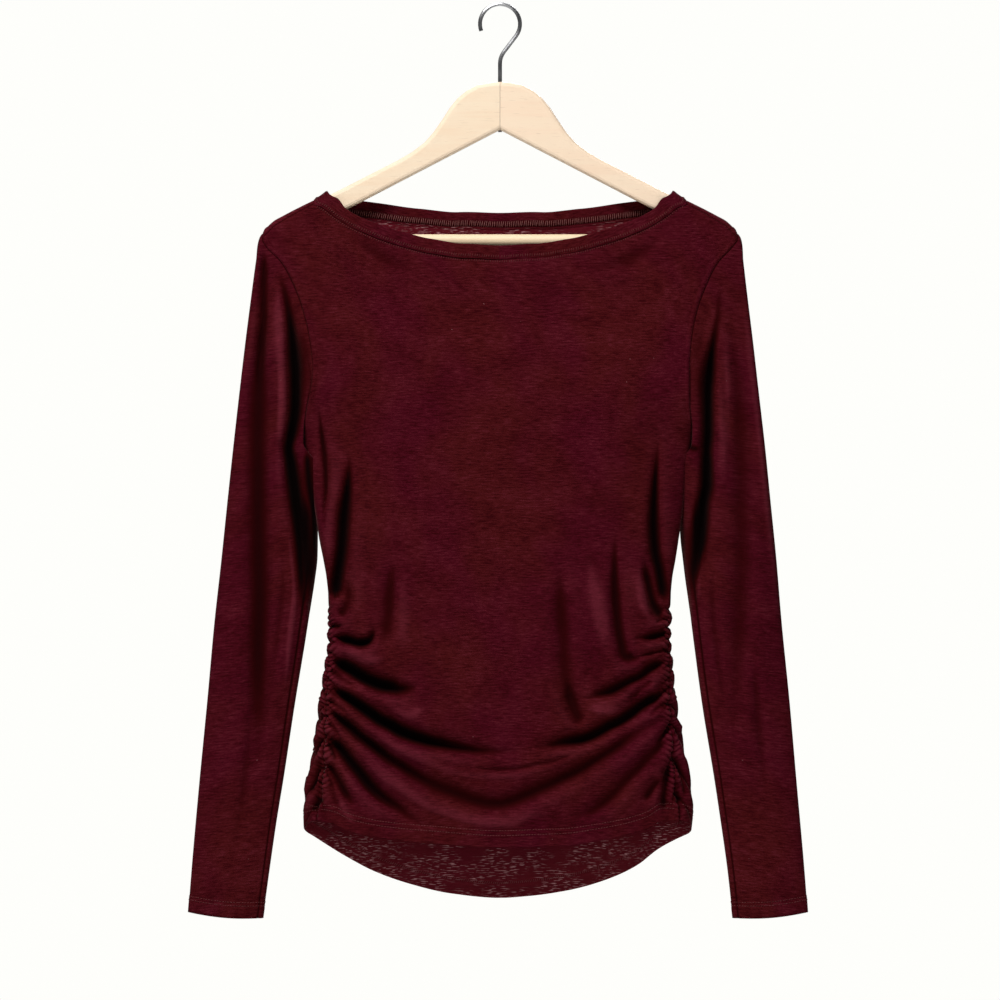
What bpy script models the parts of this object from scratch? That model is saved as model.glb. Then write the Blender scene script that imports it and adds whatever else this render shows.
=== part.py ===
"""A long-sleeved boat neck top with gathered sides, hung on a flat wooden hanger.

Metres in the scene, millimetres in the named sizes. +Z is up and the front of the top faces -Y.
The origin is the inner crown of the hook, where a rail carries the hanger.

The cloth is worked out in the way it hangs. Each panel is a grid: its columns run down the cloth
and its rows run across. A distance "h" is measured down the cloth from the crest line on top of the
hanger's arms: it is negative on the front of the arm for the back panel, which wraps over it.
"""

import math

import bmesh
import bpy
import numpy as np

MM = 0.001

# Hook, a bent wire
WIRE_DIAMETER = 3.6
HOOK_RADIUS = 18.0            # to the middle of the wire
HOOK_TIP_ANGLE = 200.0        # degrees, where the round ends on the left
STEM_BEND_Z = -46.0           # the stem leaves the middle plane here
STEM_BEND_REACH = 6.0
STEM_END_Z = -113.5

# Wooden hanger
ARM_THICKNESS = 12.0
ARM_ROUNDING = 3.5
STEM_CHANNEL = 4.4            # diameter of the channel for the hook's stem
STEM_CHANNEL_Z = (-50.0, -130.0)
BAR_DIAMETER = 11.0
BAR_Z = -211.0
BAR_HALF_LENGTH = 180.0       # to the shoulder of its end pins
PIN_DIAMETER = 7.0
PIN_LENGTH = 10.0
SEAT_GAP = 0.3

# Upper edge of an arm: distance from the middle, height
ARM_TOP = [
    (0.15, -68.4), (10, -69.3), (20, -71.3), (30, -76.5), (38, -83.0), (45, -91.5), (52, -102.5),
    (60, -114.0), (68, -123.0), (79, -131.5), (92, -139.0), (144, -165.6), (196, -191.8),
    (203, -196.6), (207.3, -201.4), (209.8, -207.5),
]
# Lower edge, from the tip back to the middle, with the foot that takes the bar
ARM_BOTTOM = [
    (210.3, -216.0), (208.5, -221.5), (203.5, -223.5), (188.0, -222.5), (182.5, -221.0),
    (180.4, -217.5), (180.4, -205.2), (137.0, -182.7), (0.15, -111.6),
]

# Cloth
WALL = 1.2                    # panel and sleeve wall
BAND_WALL = 1.7               # the neckband is folded double
SEAM_GAP = 0.6                # each edge is drawn back this far at a seam
UNDERARM_GAP = 1.6            # and a sleeve's edge this much more, where it turns away
ARM_WRAP = 9.5                # radius of the cloth over an arm, to the middle of its wall
BAND_LIFT = 0.6               # the band rides this much further out
SHOULDER_X = 213.5            # where the shoulder seams end
ROUNDNESS = 0.72              # power of the body's section, 1 is an ellipse

# Crest line of the cloth over the arms: distance from the middle, height
CREST = [(0, -91.7), (150, -166.7), (196, -189.7), (203, -193.6), (208, -198.0), (211.5, -201.8),
         (213.5, -204.6)]

# Edges of the body: height, left, right. Armhole seams down to the underarm, then the outline.
UNDERARM_Z = -391.0
EDGES = [
    (-150, -213.5, 213.5), (-210, -213.5, 213.5), (-216, -210.5, 209.5), (-230, -197.0, 196.5),
    (-252, -184.8, 185.0), (-274, -176.8, 177.0), (-306, -169.8, 171.2), (-327, -167.9, 170.0),
    (-342, -169.2, 170.0), (-359, -172.8, 170.4), (-380, -175.8, 172.3), (-391, -176.2, 172.0),
    (-413, -171.9, 168.5), (-436, -168.8, 166.0), (-460, -165.2, 163.2), (-481, -162.0, 160.2),
    (-499, -158.4, 157.4), (-515, -155.7, 154.6), (-535, -153.9, 153.0), (-571, -153.9, 152.6),
    (-597, -157.2, 154.8), (-622, -161.0, 157.3), (-646, -164.3, 161.0), (-670, -167.4, 164.7),
    (-696, -171.8, 169.3), (-720, -175.0, 172.4), (-742, -175.5, 171.9), (-830, -175.5, 171.9),
]
# Angle of the side seams round the body from its front: height, degrees. The back wraps forward
# where the sides are gathered.
SEAM_ANGLE = [(-150, 90), (-495, 90), (-530, 86.5), (-560, 82.5), (-590, 79.5), (-613, 76), (-637, 73),
              (-661, 71), (-686, 68.5), (-706, 67), (-733, 69), (-830, 69)]
# Depth beyond ARM_WRAP: height, front middle, back middle, front edge, back edge
DEPTH = [
    (-60, 0, 0, 0, 0), (-190, 0.3, 0.3, 0, 0), (-230, 2.5, 2.0, 0.3, 0.3), (-270, 6.0, 5.0, 2.5, 2.5),
    (-306, 9.5, 8.0, 5.5, 5.5), (-342, 12.0, 11.0, 5.5, 5.5), (-365, 13.3, 12.5, 0.5, 0.5),
    (-380, 14.2, 13.5, -5.0, -5.0), (-391, 15.0, 14.2, -9.0, -9.0), (-430, 16.5, 15.5, -9.0, -9.0),
    (-500, 17.5, 16.5, -9.0, -9.0), (-600, 19.0, 18.0, -9.0, -9.0), (-700, 22.0, 21.0, -9.0, -9.0),
    (-760, 24.0, 22.0, -9.0, -9.0), (-830, 25.0, 22.0, -9.0, -9.0),
]
# Left half of the neck, from the front middle: seam x, seam height, edge x, edge height
NECK_FRONT = [
    (0, -228.6, 0, -215.5), (-33, -227.3, -32, -214.2), (-66, -222.8, -63, -209.7),
    (-90, -216.5, -85, -204.2), (-115, -207.5, -109, -196.6), (-138, -197.0, -129.5, -188.2),
    (-151, -188.6, -139.5, -181.6), (-160, -181.6, -145.5, -173.8),
]
# Over the arm: seam x, seam h, edge x, edge h. The first is where the shoulder seam begins.
NECK_CREST = [
    (-167.8, -8.0, -149.2, -8.5), (-167.4, -3.5, -150.2, -3.5), (-166.8, 1.5, -150.6, 1.5),
    (-165.6, 6.5, -150.2, 6.5), (-163.6, 12.0, -148.6, 12.0),
]
# Left half of the neck, from the arm to the back middle: seam x, seam height, edge x, edge height
NECK_BACK = [
    (-158, -182.5, -144, -173.5), (-142, -187.0, -132, -176.0), (-112, -191.2, -107, -179.6),
    (-76, -195.6, -73, -183.4), (-38, -198.2, -37, -185.4), (0, -199.0, 0, -186.0),
]
# Shoulder seam: x, h on the front of the arm
SHOULDER_SEAM = [(-181, -8.4), (-193.5, -9.2), (-205, -10.4), (-213.5, -11.6)]

# Hems: x, height
FRONT_HEM = [
    (-170, -732.0), (-149.4, -735.6), (-135, -742.0), (-121.5, -745.6), (-99, -749.2), (-56.7, -752.9),
    (0, -756.5), (27, -755.8), (58.5, -754.7), (87.3, -750.6), (111.6, -746.1), (132.3, -739.8),
    (146, -732.5), (168, -732.5),
]
BACK_HEM = [
    (-175.8, -742.5), (-140.8, -765.5), (-114.3, -779.9), (-80.6, -792.0), (-44.4, -800.5),
    (0, -804.6), (27, -802.8), (58.5, -798.3), (99.5, -786.6), (124.8, -774.0), (141.7, -760.5),
    (171.8, -743.8),
]
SIDE_HEM_Z = -732.8           # both hems end here, at the side seams
BACK_HEM_WRAP = 190.0         # the back hem climbs to there from columns that begin past this

# Sleeve outlines: height, left, right
SLEEVE_OUTER = [
    (-204.6, -213.6, 213.6), (-209, -216.2, 216.4), (-229, -219.2, 218.6), (-265, -224.0, 222.8),
    (-301, -228.6, 227.2), (-345, -233.8, 232.2), (-400, -240.0, 238.5), (-445, -244.8, 243.0),
    (-499, -250.4, 248.4), (-553, -256.4, 252.9), (-625, -263.0, 260.1), (-697, -270.0, 266.4),
    (-778, -277.2, 273.6), (-822, -280.6, 277.0),
]
SLEEVE_INNER = [
    (-391, -176.9, 172.7), (-396, -181.0, 177.0), (-403, -181.0, 177.0), (-413, -176.0, 172.6),
    (-436, -170.8, 168.0), (-460, -167.0, 165.0), (-481, -164.8, 163.4), (-495, -165.0, 165.0),
    (-517, -167.4, 167.6), (-535, -170.1, 170.1), (-571, -175.6, 174.6), (-625, -184.5, 181.8),
    (-697, -195.5, 193.5), (-733, -201.4, 198.9), (-778, -207.9, 205.2), (-822, -213.9, 210.0),
]
CUFF_OUTER_Z = -815.4
CUFF_INNER_Z = -820.6
CUFF_DROOP = 2.2              # the cuff's edge bows down between its folds
SLEEVE_FULLNESS = 0.8          # power of a sleeve's section, 1 is an ellipse
SLEEVE_DEPTH = [(0, 14.5), (0.2, 15.5), (0.45, 13.5), (0.75, 11.0), (1, 9.5)]   # along, half depth
HEAD_FADE = 0.55              # the sleeve forgets its armhole this far along
UNDERARM_CLEARANCE = 2.6      # the sleeve stays this far outside the armhole seam
CLEAR_BY = 0.018              # from this share of its length on
SLEEVE_TUCK = 5.0             # the sleeve's inner fold lies this far behind the body's edge
TUCK_REACH = 0.36             # down to this share of its length

# Largest folds, as soft troughs: piece, x and height of three points, half width, depth
FOLDS = [
    ("front", (-136, -373, -141, -462, -150, -530), 11, 8),
    ("front", (142, -385, 139, -462, 146, -525), 11, 8),
    ("front", (-146, -612, -90, -655, 0, -671), 15, 9),
    ("front", (144, -616, 96, -655, 40, -663), 15, 8),
    ("front", (-150, -640, -118, -677, -60, -706), 14, 7),
    ("front", (146, -636, 108, -672, 30, -706), 14, 7),
    ("back", (-140, -420, -143, -490, -150, -540), 12, 6),
    ("back", (138, -410, 142, -490, 148, -535), 12, 6),
    ("back", (-150, -620, -92, -668, 8, -684), 16, 7),
    ("back", (148, -628, 96, -690, 20, -722), 16, 7),
    ("sleeve_left", (-180, -345, -178, -430, -171, -530), 8, 9),
    ("sleeve_left", (-216, -270, -219, -480, -236, -730), 11, 4),
    ("sleeve_right", (184, -352, 182, -440, 172, -530), 8, 8),
    ("sleeve_right", (212, -260, 222, -480, 240, -740), 12, 3),
]
FOLD_FADE = 7.0               # folds die away over the last seventh of a panel's half
FOLD_END = 0.12               # a fold starts and ends this far along the bump that fades it
FOLD_END_POWER = 0.7

# Mesh fineness: rows over the arm, from there to the underarm, and from there to the hem
PANEL_ROWS = {"front": (2, 8, 17), "back": (5, 7, 17)}
ROWS_ON_SLEEVE = 14
SLEEVE_ROW_POWER = 1.5        # rows are closer at the armhole
BAND_ROWS = 2

# Finishes: colour, roughness, metallic
FINISHES = {
    "wine_jersey": ((0.055, 0.003, 0.007, 1), 0.85, 0.0),
    "pale_wood": ((0.93, 0.71, 0.49, 1), 0.55, 0.0),
    "bar_wood": ((0.78, 0.54, 0.34, 1), 0.6, 0.0),
    "bright_wire": ((0.55, 0.55, 0.55, 1), 0.3, 1.0),
}


def smooth_table(table, column, at):
    """A curve through one column of a table, against its first column: cubic Hermite spans."""
    rows = sorted(table)
    x = np.array([row[0] for row in rows], float)
    y = np.array([row[column] for row in rows], float)
    step = np.diff(x)
    slope = np.diff(y) / step
    tangent = np.zeros_like(y)
    same_way = slope[1:] * slope[:-1] > 0
    weight = step[1:] + step[:-1]
    mean = np.where(same_way, slope[1:] * slope[:-1], 0) * weight
    tangent[1:-1] = mean / np.where(same_way, slope[1:] * step[1:] + slope[:-1] * step[:-1], 1)
    tangent[0], tangent[-1] = slope[0], slope[-1]
    at = np.clip(np.asarray(at, float), x[0], x[-1])
    i = np.clip(np.searchsorted(x, at) - 1, 0, len(x) - 2)
    t = (at - x[i]) / step[i]
    return ((2 * t**3 - 3 * t**2 + 1) * y[i] + (t**3 - 2 * t**2 + t) * step[i] * tangent[i]
            + (3 * t**2 - 2 * t**3) * y[i + 1] + (t**3 - t**2) * step[i] * tangent[i + 1])


def crest_height(x):
    """Height of the crest line, with the arms' slope carried on to the middle."""
    return smooth_table(CREST, 1, np.abs(x))


def cloth_distance(drop, radius):
    """Distance down the cloth for a drop below the crest: round the arc, then straight down."""
    on_arc = radius * np.arccos(np.clip(1 - drop / radius, -1, 1))
    return np.where(drop < radius, on_arc, drop + (math.pi / 2 - 1) * radius)


def over_arm(h, radius):
    """Reach in y and drop in z of a point at distance h over the arm: an arc, then a fall."""
    angle = np.clip(h / radius, -math.pi / 2, math.pi / 2)
    beyond = np.maximum(np.abs(h) - radius * math.pi / 2, 0)
    return radius * np.sin(angle), radius * (1 - np.cos(angle)) + beyond


def mirrored(rows):
    """The same stations on the right, in the order that carries on from the left."""
    return [(-row[0], row[1], -row[2], row[3]) for row in reversed(rows)]


def neck_stations():
    """Seam and edge points (x, h) of the left half of the neck, front middle to back middle."""
    stations = []
    for rows, side in ((NECK_FRONT, -1), (NECK_BACK, 1)):
        placed = []
        for seam_x, seam_z, edge_x, edge_z in rows:
            seam_h = cloth_distance(crest_height(seam_x) - seam_z, ARM_WRAP)
            edge_h = cloth_distance(crest_height(edge_x) - edge_z, ARM_WRAP)
            placed.append((seam_x, side * float(seam_h), edge_x, side * float(edge_h)))
        stations.append(placed)
    return stations[0], NECK_CREST, stations[1]


def panel_columns(side):
    """Tops of a panel's columns, left to right: x and h where the cloth of that side begins."""
    front, crest, back = neck_stations()
    shoulder = [(x, h) for x, h in reversed(SHOULDER_SEAM)]
    if side == "front":
        left = shoulder + [crest[0][:2]] + [row[:2] for row in reversed(front)]
        columns = [(x, -h) for x, h in left]
    else:
        columns = shoulder + [row[:2] for row in crest] + [row[:2] for row in back]
    return np.array(columns + [(-x, h) for x, h in reversed(columns[:-1])])


def fold_depth(piece, x, z):
    """Sum of a piece's troughs: each falls off as a bell from its line, and fades at its ends."""
    total = np.zeros_like(x)
    for name, line, half_width, depth in FOLDS:
        if name != piece:
            continue
        start, middle, end = np.array(line, float).reshape(3, 2)
        t = np.linspace(0, 1, 25)[:, None]
        pull = 2 * middle - (start + end) / 2
        path = (1 - t) ** 2 * start + 2 * t * (1 - t) * pull + t**2 * end
        away = np.hypot(x[..., None] - path[:, 0], z[..., None] - path[:, 1])
        nearest = away.argmin(-1)
        fade = np.sin(np.pi * (FOLD_END + (1 - 2 * FOLD_END) * t[:, 0])) ** FOLD_END_POWER
        total += depth * fade[nearest] * np.exp(-((away.min(-1) / half_width) ** 2))
    return total


def body_point(side, x_top, h):
    """Points of the front or back cloth, from where their column begins and their distance h.

    Across a level, x follows the sine of an angle and y a power of its cosine, between the seams.
    The back's angle passes a right angle where it wraps round the gathered sides to the front.
    """
    reach, drop = over_arm(h, ARM_WRAP)
    z = crest_height(x_top) - drop
    left, right = smooth_table(EDGES, 1, z), smooth_table(EDGES, 2, z)
    middle, half = (left + right) / 2, (right - left) / 2
    seam_angle = np.radians(smooth_table(SEAM_ANGLE, 1, z))
    share = np.arcsin(np.clip(x_top / SHOULDER_X, -1, 1)) / (math.pi / 2)
    front_mid, back_mid = smooth_table(DEPTH, 1, z), smooth_table(DEPTH, 2, z)
    if side == "front":
        angle, mid, edge = share * seam_angle, front_mid, smooth_table(DEPTH, 3, z)
    else:
        angle, mid, edge = share * (math.pi - seam_angle), back_mid, smooth_table(DEPTH, 4, z)
    cosine = np.cos(angle)
    power = np.abs(cosine) ** ROUNDNESS
    y = np.where(cosine >= 0, reach + edge + (mid - edge) * power, -(ARM_WRAP + front_mid) * power)
    x = middle + half * np.sin(angle)
    y = y - fold_depth(side, x, z) * np.clip((1 - np.abs(share)) * FOLD_FADE, 0, 1)
    return np.stack([x, -y if side == "front" else y, z], -1)


def hem_distance(side, x_top):
    """Distance h of the hem for each column: found by settling the hem's height on its own x."""
    table = FRONT_HEM if side == "front" else BACK_HEM
    climb = np.clip((np.abs(x_top) - BACK_HEM_WRAP) / (SHOULDER_X - BACK_HEM_WRAP), 0, 1) ** 2
    climb = climb if side == "back" else (climb == 1) * 1.0
    z = np.full_like(x_top, SIDE_HEM_Z)
    for _ in range(6):
        h = cloth_distance(crest_height(x_top) - z, ARM_WRAP)
        z = smooth_table(table, 1, body_point(side, x_top, h)[:, 0])
        z = z + (SIDE_HEM_Z - z) * climb
    return cloth_distance(crest_height(x_top) - z, ARM_WRAP)


def rows_to_underarm(side):
    """Number of a panel's rows from its top to the underarm."""
    return PANEL_ROWS[side][0] + PANEL_ROWS[side][1]


def row_shares(side, over):
    """Shares of the way down: even over the arm, even to the underarm, then even to the hem."""
    on_arm, upper, lower = PANEL_ROWS[side]
    to_underarm = np.concatenate([np.linspace(0, over, on_arm + 1), np.linspace(over, 1, upper + 1)[1:]])
    return to_underarm, np.linspace(0, 1, lower + 1)[1:]


def panel_grid(side):
    """A panel's grid of points, rows down and columns across."""
    columns = panel_columns(side)
    x_top, h_top = columns[:, 0], columns[:, 1]
    hem = hem_distance(side, x_top)
    edge_h = float(cloth_distance(crest_height(SHOULDER_X) - UNDERARM_Z, ARM_WRAP))
    level = h_top + (hem - h_top) * (edge_h - h_top[0]) / (hem[0] - h_top[0])
    level[0] = level[-1] = edge_h
    arc_end = ARM_WRAP * math.pi / 2
    upper, lower = row_shares(side, (arc_end - h_top[0]) / (edge_h - h_top[0]))
    h = np.concatenate([h_top + upper[:, None] * (level - h_top),
                        level + lower[:, None] * (hem - level)])
    x_all = np.broadcast_to(x_top, h.shape)
    return body_point(side, x_all, h)


def drawn_back(grid, sides, gap):
    """The grid with its named borders pulled in along the cloth by the seam gap."""
    out = grid.copy()
    borders = {"top": (0, 1), "left": (0, 1), "right": (-1, -2)}
    for name in sides:
        edge, inner = borders[name]
        a = grid[edge] if name == "top" else grid[:, edge]
        b = grid[inner] if name == "top" else grid[:, inner]
        shift = (b - a) * gap / np.linalg.norm(b - a, axis=-1, keepdims=True)
        if name == "top":
            out[edge] += shift
        else:
            out[:, edge] += shift
    return out


def sleeve_grid(side):
    """A sleeve's rings: the armhole loop at the top, blending into flat hanging rings.

    A ring runs from the crest to the underarm on the front and on the back. Its place across goes
    with half of 1 minus the cosine of its share, its depth with the sine, and what the armhole adds
    to that fades as the square of the way left to HEAD_FADE.
    """
    column = 0 if side == "left" else -1
    front = panel_grid("front")[: rows_to_underarm("front") + 1, column]
    back = panel_grid("back")[: rows_to_underarm("back") + 1, column]
    loop = np.concatenate([back, front[-2:0:-1]])
    crest = int(np.argmax(loop[:, 2]))
    low = rows_to_underarm("back")
    length = np.linalg.norm(np.diff(np.vstack([loop, loop[:1]]), axis=0), axis=1)
    walked = np.concatenate([[0], np.cumsum(length)])
    total = walked[-1]
    position = (walked[:-1] - walked[crest]) % total
    to_low = (walked[low] - walked[crest]) % total
    on_back = position <= to_low
    share = np.where(on_back, position / to_low, (total - position) / (total - to_low))
    facing = np.where(on_back, 1.0, -1.0)

    tone = 1 if side == "left" else 2
    t = np.linspace(0, 1, ROWS_ON_SLEEVE + 1)[:, None] ** SLEEVE_ROW_POWER
    outer_z = loop[crest, 2] + t * (CUFF_OUTER_Z - loop[crest, 2])
    inner_z = UNDERARM_Z + t * (CUFF_INNER_Z - UNDERARM_Z)
    outer_x = smooth_table(SLEEVE_OUTER, tone, outer_z)
    inner_x = smooth_table(SLEEVE_INNER, tone, inner_z)
    across = (1 - np.cos(np.pi * share))[None] / 2
    x = outer_x + (inner_x - outer_x) * across
    z = outer_z + (inner_z - outer_z) * across - CUFF_DROOP * t**4 * np.sin(np.pi * across)
    y = facing * smooth_table(SLEEVE_DEPTH, 1, t) * np.sin(np.pi * share) ** SLEEVE_FULLNESS
    flat = np.stack([x, y, z], -1)
    fade = np.clip(1 - t / HEAD_FADE, 0, 1)[..., None] ** 2
    rings = flat + (loop - flat[0]) * fade
    sign = -1 if side == "left" else 1
    apart = UNDERARM_CLEARANCE * np.clip(t / CLEAR_BY, 0, 1)
    limit = sign * smooth_table(EDGES, tone, rings[..., 2]) + apart
    over = np.clip(limit - sign * rings[..., 0], 0, None)
    rings[..., 0] += sign * over
    tuck = SLEEVE_TUCK * across**3 * np.sin(np.pi * np.clip(t / TUCK_REACH, 0, 1)) ** 0.6
    trough = np.where(facing < 0, fold_depth("sleeve_" + side, rings[..., 0], rings[..., 2]), 0)
    rings[1:, :, 1] += (tuck + trough)[1:]
    down = rings[1] - rings[0]
    gap = SEAM_GAP + UNDERARM_GAP * across[0] ** 3
    rings[0] += down * (gap / np.linalg.norm(down, axis=-1))[:, None]
    return rings


def band_grid():
    """The neckband's rings, from its seam to its folded edge, round the whole neck."""
    front, crest, back = neck_stations()
    left = list(front) + list(crest) + list(back)
    stations = np.array(left + mirrored(left)[1:-1])
    rings = []
    for share in np.linspace(0, 1, BAND_ROWS + 1):
        x = stations[:, 0] + share * (stations[:, 2] - stations[:, 0])
        h = stations[:, 1] + share * (stations[:, 3] - stations[:, 1])
        lean = np.clip(h / ARM_WRAP, -math.pi / 2, math.pi / 2)
        ring = np.where(h[:, None] < 0, body_point("front", x, -h), body_point("back", x, h))
        ring[:, 1] += BAND_LIFT * np.sin(lean)
        ring[:, 2] += BAND_LIFT * np.cos(lean)
        rings.append(ring)
    return np.array(rings)


def finish(name):
    """A Principled material for one finish."""
    material = bpy.data.materials.get(name) or bpy.data.materials.new(name)
    material.use_nodes = True
    colour, roughness, metallic = FINISHES[name]
    shader = material.node_tree.nodes["Principled BSDF"]
    shader.inputs["Base Color"].default_value = colour
    shader.inputs["Roughness"].default_value = roughness
    shader.inputs["Metallic"].default_value = metallic
    material.diffuse_color = colour
    return material


def add_object(name, mesh, material):
    """Link a mesh to the scene as one named piece."""
    mesh.materials.append(finish(material))
    piece = bpy.data.objects.new(name, mesh)
    bpy.context.scene.collection.objects.link(piece)
    return piece


def cloth_piece(name, grid, wall, closed=False):
    """A cloth wall: quads through a grid of points in millimetres, with Solidify for the wall."""
    rows, columns = grid.shape[:2]
    index = np.arange(rows * columns).reshape(rows, columns)
    if closed:
        index = np.hstack([index, index[:, :1]])
    quads = np.stack([index[:-1, :-1], index[1:, :-1], index[1:, 1:], index[:-1, 1:]], -1)
    mesh = bpy.data.meshes.new(name)
    mesh.from_pydata((grid.reshape(-1, 3) * MM).tolist(), [], quads.reshape(-1, 4).tolist())
    piece = add_object(name, mesh, "wine_jersey")
    mesh.shade_smooth()
    solid = piece.modifiers.new("Wall", "SOLIDIFY")
    solid.thickness = wall * MM
    solid.offset = 0
    solid.use_even_offset = False
    solid.use_quality_normals = True
    return piece


def round_bar(name, stretches, material, sides=24):
    """A turned bar along X: stretches of (x from, x to, diameter), each a step in one profile."""
    shape = bmesh.new()
    rings = []
    for x_from, x_to, diameter in stretches:
        for x in (x_from, x_to):
            ring = []
            for i in range(sides):
                angle = 2 * math.pi * i / sides
                y, z = math.cos(angle) * diameter / 2, BAR_Z + math.sin(angle) * diameter / 2
                ring.append(shape.verts.new((x * MM, y * MM, z * MM)))
            rings.append(ring)
    for a, b in zip(rings, rings[1:]):
        for i in range(sides):
            j = (i + 1) % sides
            shape.faces.new((a[i], a[j], b[j], b[i]))
    shape.faces.new(rings[0])
    shape.faces.new(rings[-1][::-1])
    bmesh.ops.recalc_face_normals(shape, faces=shape.faces)
    mesh = bpy.data.meshes.new(name)
    shape.to_mesh(mesh)
    shape.free()
    piece = add_object(name, mesh, material)
    mesh.shade_smooth()
    mesh.set_sharp_from_angle(angle=math.radians(40))
    return piece


def cutter(name, radius, length, location, rotation):
    """A hidden cylinder that cuts a hole."""
    bpy.ops.mesh.primitive_cylinder_add(vertices=24, radius=radius * MM, depth=length * MM)
    tool = bpy.context.object
    tool.name = name
    tool.location = [v * MM for v in location]
    tool.rotation_euler = rotation
    tool.hide_render = True
    tool.display_type = "WIRE"
    return tool


def hanger_arm(name, sign, cutters):
    """One half of the hanger: its outline drawn out in Y, with rounded edges and its holes."""
    outline = [(sign * x * MM, z * MM) for x, z in ARM_TOP + ARM_BOTTOM]
    shape = bmesh.new()
    rim = shape.edges.layers.float.new("bevel_weight_edge")
    half = ARM_THICKNESS / 2 * MM
    ring = [shape.verts.new((x, -half, z)) for x, z in outline]
    face = shape.faces.new(ring)
    drawn = bmesh.ops.extrude_face_region(shape, geom=[face])
    moved = [v for v in drawn["geom"] if isinstance(v, bmesh.types.BMVert)]
    bmesh.ops.translate(shape, verts=moved, vec=(0, 2 * half, 0))
    bmesh.ops.recalc_face_normals(shape, faces=shape.faces)
    for edge in shape.edges:
        a, b = edge.verts
        at_joint = abs(a.co.x) < MM and abs(b.co.x) < MM
        edge[rim] = 1.0 if a.co.y == b.co.y and not at_joint else 0.0
    mesh = bpy.data.meshes.new(name)
    shape.to_mesh(mesh)
    shape.free()
    piece = add_object(name, mesh, "pale_wood")
    rounded = piece.modifiers.new("Rounding", "BEVEL")
    rounded.width = ARM_ROUNDING * MM
    rounded.segments = 3
    rounded.limit_method = "WEIGHT"
    for tool in cutters:
        hole = piece.modifiers.new(tool.name, "BOOLEAN")
        hole.operation = "DIFFERENCE"
        hole.object = tool
    mesh.shade_smooth()
    mesh.set_sharp_from_angle(angle=math.radians(30))
    return piece


def hook_path():
    """The wire's middle line: up the stem, round its bend, along a tangent, round the hook."""
    centre_z = WIRE_DIAMETER / 2 - HOOK_RADIUS
    swing = math.acos(HOOK_RADIUS / (centre_z - STEM_BEND_Z))
    start = -math.pi / 2 + swing
    touch = np.array([HOOK_RADIUS * math.cos(start), centre_z + HOOK_RADIUS * math.sin(start)])
    bend = np.array([0.0, STEM_BEND_Z])
    along = (touch - bend) / np.linalg.norm(touch - bend)
    below = bend - np.array([0, STEM_BEND_REACH])
    above = bend + along * STEM_BEND_REACH
    points = [np.array([0.0, STEM_END_Z])]
    for t in np.linspace(0, 1, 6):
        points.append((1 - t) ** 2 * below + 2 * t * (1 - t) * bend + t**2 * above)
    for angle in np.linspace(start, math.radians(HOOK_TIP_ANGLE), 30):
        points.append(np.array([HOOK_RADIUS * math.cos(angle), centre_z + HOOK_RADIUS * math.sin(angle)]))
    return points


def hanger_hook():
    """The hook, a wire along its path."""
    curve = bpy.data.curves.new("hanger_hook", "CURVE")
    curve.dimensions = "3D"
    curve.bevel_depth = WIRE_DIAMETER / 2 * MM
    curve.bevel_resolution = 2
    curve.use_fill_caps = True
    points = hook_path()
    spline = curve.splines.new("POLY")
    spline.points.add(len(points) - 1)
    for point, (x, z) in zip(spline.points, points):
        point.co = (x * MM, 0, z * MM, 1)
    curve.materials.append(finish("bright_wire"))
    piece = bpy.data.objects.new("hanger_hook", curve)
    bpy.context.scene.collection.objects.link(piece)
    return piece


def build_hanger():
    """Two arms, the bar between them and the hook."""
    hanger_hook()
    top, bottom = STEM_CHANNEL_Z
    channel = cutter("stem_channel", STEM_CHANNEL / 2, top - bottom, (0, 0, (top + bottom) / 2), (0, 0, 0))
    hole_end = BAR_HALF_LENGTH + PIN_LENGTH + SEAT_GAP
    hole_length = 2 * PIN_LENGTH
    for name, sign in (("hanger_arm_left", -1), ("hanger_arm_right", 1)):
        x = sign * (hole_end - hole_length / 2)
        radius = PIN_DIAMETER / 2 + SEAT_GAP
        socket = cutter(name + "_socket", radius, hole_length, (x, 0, BAR_Z), (0, math.pi / 2, 0))
        hanger_arm(name, sign, [channel, socket])
    pin_end = BAR_HALF_LENGTH + PIN_LENGTH
    stretches = [(-pin_end, -BAR_HALF_LENGTH, PIN_DIAMETER),
                 (-BAR_HALF_LENGTH, BAR_HALF_LENGTH, BAR_DIAMETER),
                 (BAR_HALF_LENGTH, pin_end, PIN_DIAMETER)]
    round_bar("hanger_bar", stretches, "bar_wood")


def build_top():
    """The cloth: two panels, two sleeves and the neckband."""
    for side in ("front", "back"):
        grid = drawn_back(panel_grid(side), ("top", "left", "right"), SEAM_GAP)
        grid = grid if side == "front" else grid[:, ::-1]
        cloth_piece(side + "_panel", grid, WALL)
    for side in ("left", "right"):
        grid = sleeve_grid(side)
        grid = grid[:, ::-1] if side == "left" else grid
        cloth_piece("sleeve_" + side, grid, WALL, closed=True)
    cloth_piece("neckband", drawn_back(band_grid(), ("top",), SEAM_GAP)[::-1], BAND_WALL, closed=True)


for old in list(bpy.data.objects):
    bpy.data.objects.remove(old, do_unlink=True)
build_hanger()
build_top()
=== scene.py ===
# Looks for a boat neck top on its wooden hanger: each cloth piece is a thin shell on its solid's form,
# with its folds laid in one by one. Tables are in millimetres, +Z up, and the front of the top faces -Y.
import math

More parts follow.
